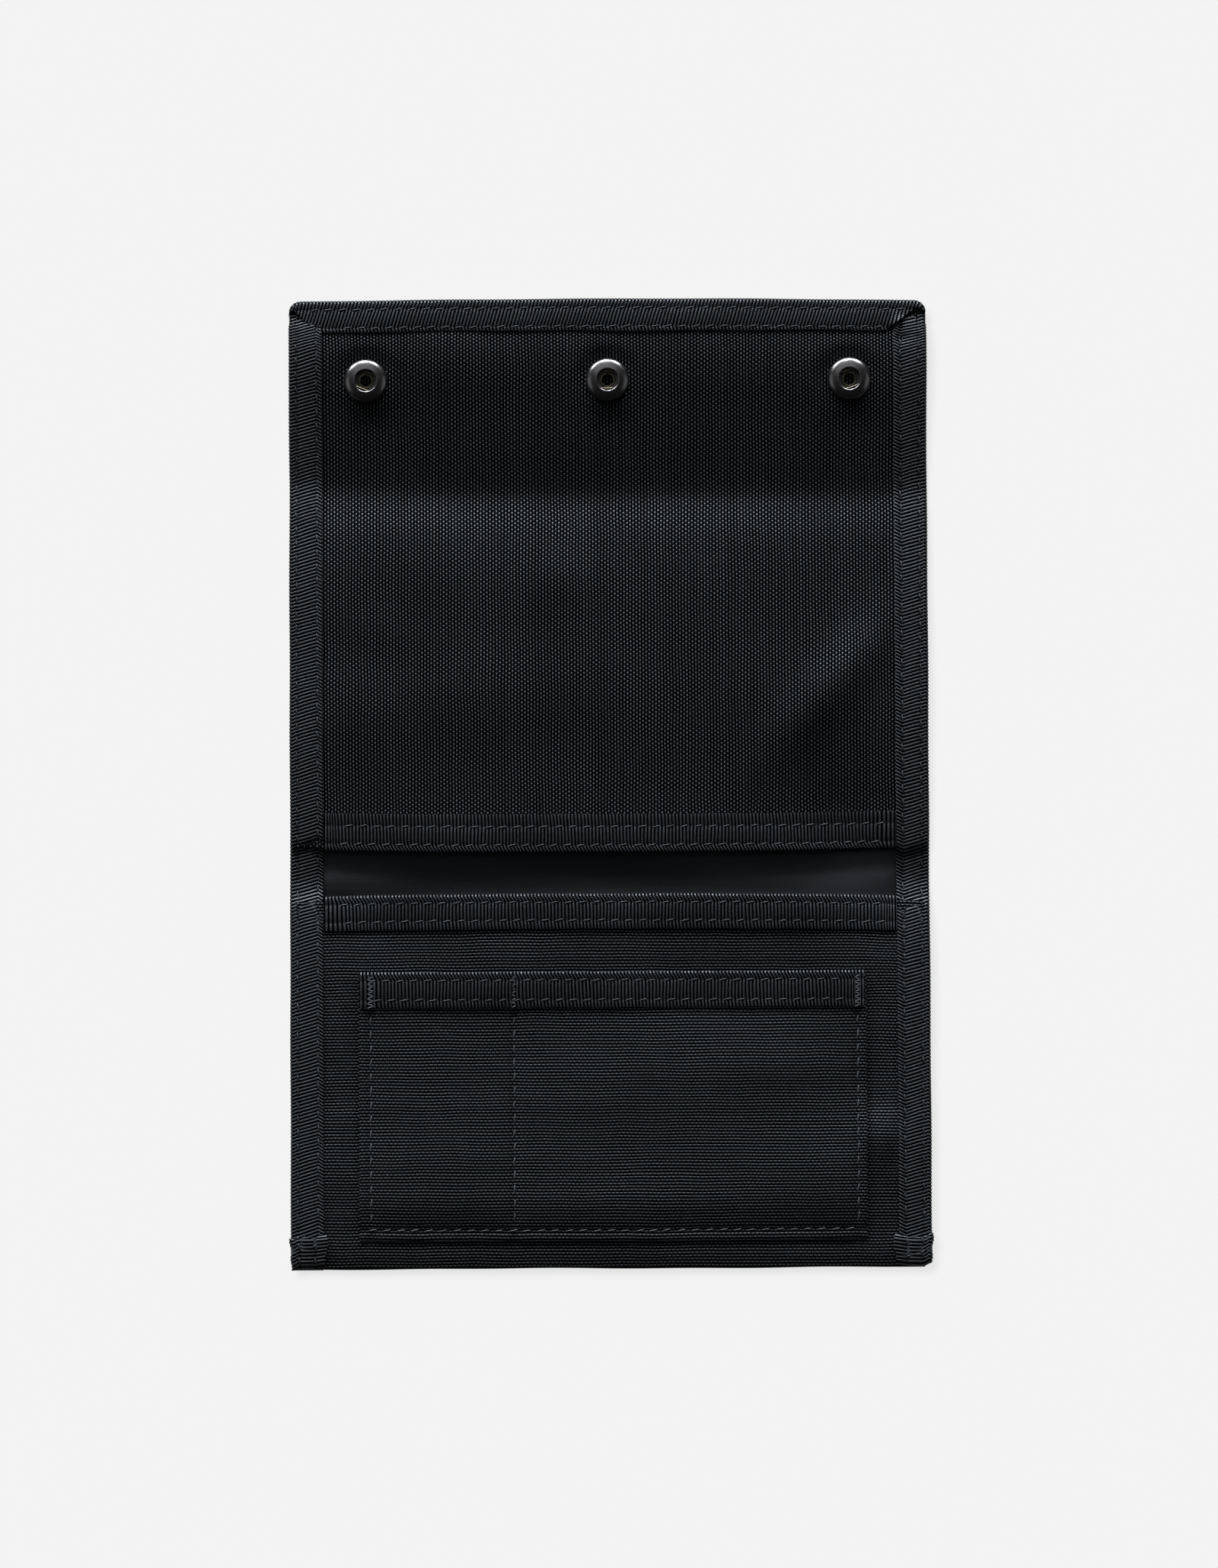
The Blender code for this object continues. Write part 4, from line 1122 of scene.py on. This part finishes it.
def card_crown(x):
    """The card cloth stands off between its seams."""
    crown = 0.0
    for low, high in zip(CARD_SEAMS_X, CARD_SEAMS_X[1:]):
        share = np.clip((x - low) / (high - low), 0.0, 1.0)
        crown = crown + CARD_CROWN * np.sqrt(np.sin(share * math.pi) + 1e-9) * (share > 0.0) * (share < 1.0)
    return crown


def card_base_top(x, y):
    """Surface that the card pocket's tape follows."""
    dent = sum(seam_pull(x - seam_x, 0.16) for seam_x in CARD_SEAMS_X)
    return lower_front_top(x, y) + 0.6 * card_crown(x) - dent


def card_edge_distance(x, y):
    return np.minimum(np.minimum(x - CARD_LOW.x, CARD_HIGH.x - x), y - CARD_LOW.y)


def card_top(x, y):
    """Card pocket front: crowned over its two slots and pulled down along its seams."""
    pull = seam_pull(y - CARD_BOTTOM_SEAM_Y, 0.34)
    for seam_x in CARD_SEAMS_X:
        pull = np.maximum(pull, seam_pull(x - seam_x, 0.42, 0.8))
    pull = pull * (0.875 + 0.125 * np.cos(FULL_TURN * y / STITCH_PITCH))
    crown = card_crown(x) * ramp(y, CARD_BOTTOM_SEAM_Y, 9.0)
    worn = 0.22 * ramp(card_edge_distance(x, y), 0.6, -0.6)
    settled = 0.42 * ramp(y, CARD_LOW.y + 9.0, -9.0)
    return lower_front_top(x, y) + CARD_HIGH.z - FRONT_TOP_Z + crown - pull - worn - settled


def card_bow(x, depth):
    """The card pocket's bottom edge bows down between its corners."""
    return -depth * (1.0 - (2.0 * (x - CARD_LOW.x) / (CARD_HIGH.x - CARD_LOW.x) - 1.0) ** 2)


def make_card_pocket():
    xs = spread(CARD_LOW.x, CARD_HIGH.x, 0.55, CARD_SEAMS_X)
    ys = spread(CARD_LOW.y, CARD_MOUTH_Y - 0.6, 0.8, (CARD_BOTTOM_SEAM_Y,))
    x, y = np.meshgrid(xs, ys)
    top = card_top(x, y)
    outer = grid_of(taper(x, y), y + card_bow(x, 0.35) * ramp(y, CARD_LOW.y + 20.0, -20.0), top)
    inner = outer.copy()
    hem = ramp(card_edge_distance(x, y), 4.4, -0.8)
    full = np.maximum(top - lower_front_top(x, y) - 0.12, CLOTH_THICKNESS)
    inner[..., 2] -= CLOTH_THICKNESS + (full - CLOTH_THICKNESS) * hem
    front = closed_grid("card_pocket_cloth", outer, inner, grid_of(x, y + 0.3) * MM, MATERIAL["lower_weave"])
    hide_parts("card_pocket_front")
    size = flat_size(CARD_HIGH.x - CARD_LOW.x, CARD_MOUTH_Y - CARD_LOW.y)
    paths = []
    for seed, seam_x in enumerate(CARD_SEAMS_X, start=91):
        paths += stitch_paths(upright_seam(seam_x), CARD_BOTTOM_SEAM_Y, CARD_TAPE_LOW.y, 0.0, 0.2, seed)
    paths += stitch_paths(bottom_seam, CARD_SEAMS_X[0], CARD_SEAMS_X[-1], 0.0, 0.2, seed=95)
    # The card seams use the lighter thread, a painted highlight
    thread = thread_piece("card_pocket_thread", paths + bar_tacks(), "seam_thread_painted_highlight", SEAM_THREAD_RADIUS)
    ride_on("lower_panel", "shell_nylon", front, thread)


def upright_seam(seam_x):
    """Surface points for the stitches of a seam along Y."""

    def point(along, across, lift):
        return grid_of(taper(seam_x + across, along), along, card_top(seam_x, along) + 0.08 + lift)

    return point


def bottom_seam(along, across, lift):
    """Surface points for the stitches of the seam along X."""
    y = CARD_BOTTOM_SEAM_Y
    return grid_of(taper(along, y), y + across + card_bow(along, 0.3), card_top(along, y) + 0.08 + lift)


def bar_tacks():
    """Dense zigzags that hold the ends of the card tape and the divider."""
    paths = []
    tape_top = CARD_TAPE_HIGH.z - FRONT_TOP_Z
    t = np.linspace(-1.0, 1.0, THREAD_STEPS + 1)
    for seam_x, count, width in zip(CARD_SEAMS_X, (13, 9, 13), (1.7, 1.0, 1.5)):
        for index in range(count):
            direction = 1.0 if index % 2 else -1.0
            x = seam_x + direction * t * width / 2.0
            y = CARD_MOUTH_Y - 0.9 - index * (CARD_TAPE_WIDTH - 1.6) / (count - 1) - t * 0.28
            z = card_base_top(x, y) + tape_top + 0.07 - 0.26 * np.abs(t) ** 2.5
            paths.append(grid_of(taper(x, y), y, z))
    return paths


# ---------------------------------------------------------------- snaps

LATHE_STEPS = 72
SPRING_SIDES = 10
SPRING_TURNS_DEG = {"left": -22.0, "middle": 0.0, "right": 18.0}


def softened(points, closed, rounds=3):
    """Corner cutting, which rounds a profile a little."""
    points = [np.array(point) for point in points]
    for _ in range(rounds):
        cut = []
        for before, after in zip(points, points[1:] + ([points[0]] if closed else [])):
            cut += [0.78 * before + 0.22 * after, 0.22 * before + 0.78 * after]
        points = cut if closed else [points[0], *cut[1:-1], points[-1]]
    return points


def lathe(name, profile, center, material, closed):
    """Turned piece from (radius, height) points: a closed loop, or a line between two points on the axis."""
    radius, height = np.array(softened(profile, closed)).T[:, :, None]
    reach = np.maximum(radius, 0.0005)
    turns = turn_angles(LATHE_STEPS)
    verts = grid_of(reach * np.cos(turns), reach * np.sin(turns), height) + np.array(center)
    quads = tube_quads(len(radius), LATHE_STEPS, closed)
    if not closed:
        step = np.arange(LATHE_STEPS // 2 - 1)
        cap = grid_of(step, step + 1, LATHE_STEPS - 2 - step, LATHE_STEPS - 1 - step)
        quads = np.concatenate([quads, cap[:, ::-1], cap + (len(radius) - 1) * LATHE_STEPS])
    return mesh_from_arrays(name, verts, quads, grid_of(turns / FULL_TURN, height), MATERIAL[material], 50.0)


def snap_piece(
    kind, node, side, profile, center, material="gunmetal", slot="gunmetal", body="flap", closed=False,
):
    """A turned part of the snap at one side, such as the cap, which replaces the CAD's node."""
    piece = lathe(f"{kind}_{side}", profile, center, material, closed)
    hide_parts(f"{node}_{side}")
    ride_on(body, slot, piece)


def make_snaps():
    """Socket, cap, flare and spring on the flap, and stud and post on the lower panel, three times."""
    socket_profile = (
        (5.45, 0.0), (5.45, 0.55), (5.43, 0.95), (5.34, 1.35), (5.08, 1.75), (4.62, 2.10), (4.02, 2.36),
        (3.45, 2.50), (3.05, 2.585), (2.88, 2.60), (2.72, 2.50), (2.66, 2.32), (2.70, 2.16), (2.95, 2.16),
        (3.30, 2.22), (4.10, 1.95), (4.80, 1.40), (5.12, 0.85), (5.12, 0.16), (1.85, 0.16), (1.85, 0.0),
    )
    for side, center in SOCKETS.items():
        base = (center.x, center.y, SOCKET_BASE_Z)
        snap_piece("socket", "snap_socket", side, socket_profile, base, closed=True)
        low, high = box("snap_cap_" + side)
        top = high.z - low.z
        cap_profile = (
            (0.0, top - 2.6), (1.35, top - 2.6), (1.33, top - 0.35), (1.45, top - 0.06), (1.66, top),
            (1.92, top - 0.08), (1.95, top - 0.2), (1.70, top - 0.3), (1.70, 1.35), (1.80, 1.28),
            (5.90, 1.28), (6.20, 1.20), (6.25, 1.0), (6.10, 0.72), (5.70, 0.45), (4.90, 0.20), (3.60, 0.05),
            (2.0, 0.0), (0.0, 0.0),
        )
        snap_piece("cap", "snap_cap", side, cap_profile, (center.x, center.y, low.z))
        make_flare(side, base)
        make_spring(side, base)
    for side in SOCKETS:
        low, high = box("snap_stud_" + side)
        top = high.z - low.z
        stud_profile = (
            (0.0, top - 1.7), (1.2, top - 1.7), (1.2, top), (4.8, top), (5.0, top - 0.2), (4.75, top - 0.7),
            (2.1, top - 0.72), (1.72, top - 0.95), (1.70, 0.62), (2.05, 0.50), (2.5, 0.36), (2.42, 0.12),
            (1.9, 0.0), (0.0, 0.0),
        )
        x, y = (low.x + high.x) / 2.0, (low.y + high.y) / 2.0
        snap_piece("stud", "snap_stud", side, stud_profile, (x, y, low.z), body="lower_panel")
        low, high = box("stud_post_" + side)
        top = high.z - low.z
        post_profile = (
            (0.0, 0.0), (0.8, 0.0), (1.0, 0.2), (1.0, top - 0.4), (4.5, top - 0.4), (4.6, top - 0.25),
            (4.4, top - 0.05), (3.0, top), (0.0, top),
        )
        place = (x, y, low.z)
        snap_piece("post", "stud_post", side, post_profile, place, "brass", "plated_steel", "lower_panel")


def make_flare(side, base):
    """Bright bore of the cap's post, rolled over inside the socket."""
    profile = (
        (1.30, -1.2), (1.36, -1.2), (1.37, 0.30), (1.48, 0.42), (1.68, 0.47), (1.93, 0.42), (1.99, 0.30),
        (1.96, 0.24), (1.70, 0.40), (1.45, 0.36), (1.31, 0.24),
    )
    ride_on("flap", "plated_steel", lathe("flare_" + side, profile, base, "brass", True))


def make_spring(side, base):
    """Racetrack of wire in the socket, which grips the stud."""
    wire, half_gap, straight, height = 0.2, 2.15, 2.0, 1.45
    arc_angles = np.radians(np.linspace(-90.0, 90.0, 17))
    arc = grid_of(straight + half_gap * np.cos(arc_angles), half_gap * np.sin(arc_angles))
    path = np.concatenate([arc, -arc])
    along = np.roll(path, -1, axis=0) - np.roll(path, 1, axis=0)
    along /= np.linalg.norm(along, axis=1, keepdims=True)
    out = grid_of(along[:, 1], -along[:, 0])
    turns = turn_angles(SPRING_SIDES)
    x, y = np.moveaxis(path[:, None] + wire * np.cos(turns)[:, None] * out[:, None], -1, 0)
    turn = math.radians(SPRING_TURNS_DEG[side])
    turned_x = x * math.cos(turn) - y * math.sin(turn)
    turned_y = x * math.sin(turn) + y * math.cos(turn)
    verts = grid_of(turned_x, turned_y, height + wire * np.sin(turns)) + np.array(base)
    uv = grid_of(np.arange(len(path))[:, None] / len(path), turns / FULL_TURN)
    quads = tube_quads(len(path), SPRING_SIDES, closed=True)
    piece = mesh_from_arrays("spring_" + side, verts, quads, uv, MATERIAL["brass"], 60.0)
    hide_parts("snap_spring_" + side)
    ride_on("flap", "plated_steel", piece)


make_long_cloths()
make_inner_panels()
make_lower_front()
make_side_bindings()
make_mouth_tapes()
make_end_binding()
make_card_pocket()
make_snaps()

# ---------------------------------------------------------------- stage, lights and camera

FLOOR_ALBEDO = 0.22
FLOOR_GLOW = 0.765
FLOOR_BOUNCE = 0.12
FLOOR_HALF_SIZE = 30.0
CAMERA_DISTANCE = 1.6
VIEW_HEIGHT = 0.3924


def make_stage():
    floor_mesh = bpy.data.meshes.new("studio_floor")
    bm = bmesh.new()
    bmesh.ops.create_grid(bm, x_segments=1, y_segments=1, size=FLOOR_HALF_SIZE)
    bm.to_mesh(floor_mesh)
    bm.free()
    floor = link_object("studio_floor", floor_mesh)
    material, n = new_material("floor_white", (FLOOR_ALBEDO,) * 3, 0.9, specular=0.0, tint=(1.0, 1.0, 1.0))
    seen = n.add("ShaderNodeLightPath").outputs["Is Camera Ray"]
    n.set(Emission_Color=(1.0, 1.0, 1.0, 1.0), Emission_Strength=n.mix(seen, FLOOR_BOUNCE, FLOOR_GLOW))
    floor_mesh.materials.append(material)
    return floor


def light_floor(floor, near_sun, low_suns):
    """The floor takes its light from one high sun, and none from the low ones."""
    for name, suns, state in (("floor_only", [near_sun], "INCLUDE"), ("floor_unlit", low_suns, "EXCLUDE")):
        group = bpy.data.collections.new(name)
        group.objects.link(floor)
        group.collection_objects[0].light_linking.link_state = state
        for sun in suns:
            sun.light_linking.receiver_collection = group


def make_sun(name, azimuth_deg, elevation_deg, strength, spread_deg):
    """A soft sun. Azimuth 0 stands at +Y and 90 at +X."""
    data = bpy.data.lights.new(name, "SUN")
    data.energy = strength
    data.angle = math.radians(spread_deg)
    sun = link_object(name, data)
    azimuth, elevation = math.radians(azimuth_deg), math.radians(elevation_deg)
    level = math.cos(elevation)
    towards = Vector((math.sin(azimuth) * level, math.cos(azimuth) * level, math.sin(elevation)))
    sun.rotation_euler = towards.to_track_quat("Z", "Y").to_euler()
    return sun


def make_world(camera_level, light_level):
    world = bpy.data.worlds.new("studio")
    world.use_nodes = True
    tree = world.node_tree
    background = tree.nodes["Background"]
    path = tree.nodes.new("ShaderNodeLightPath")
    level = tree.nodes.new("ShaderNodeMapRange")
    level.inputs["To Min"].default_value = light_level
    level.inputs["To Max"].default_value = camera_level
    tree.links.new(path.outputs["Is Camera Ray"], level.inputs["Value"])
    tree.links.new(level.outputs[0], background.inputs["Strength"])
    background.inputs["Color"].default_value = (1.0, 1.0, 1.0, 1.0)
    bpy.context.scene.world = world


def make_camera():
    data = bpy.data.cameras.new("camera")
    data.sensor_width = 36.0
    data.lens = data.sensor_width * CAMERA_DISTANCE / VIEW_HEIGHT
    data.clip_end = 50.0
    camera = link_object("camera", data)
    camera.location = (-0.0001, -0.0006, CAMERA_DISTANCE)
    camera.rotation_euler = (0.0, 0.0, math.radians(-0.27))
    bpy.context.scene.camera = camera


light_floor(
    make_stage(),
    make_sun("floor_sun", -38.0, 60.0, 2.1, 26.0),
    [
        make_sun("key_left", -38.0, 15.0, 1.7, 22.0),
        make_sun("key_middle", -8.0, 15.0, 2.9, 22.0),
        make_sun("key_right", 22.0, 15.0, 2.1, 22.0),
        make_sun("overhead", -12.0, 58.0, 0.20, 44.0),
        make_sun("left_fill", -95.0, 30.0, 0.12, 40.0),
        make_sun("right_fill", 95.0, 30.0, 0.10, 40.0),
    ],
)
make_world(0.9, 0.015)
make_camera()
bpy.context.scene.view_settings.view_transform = "Standard"
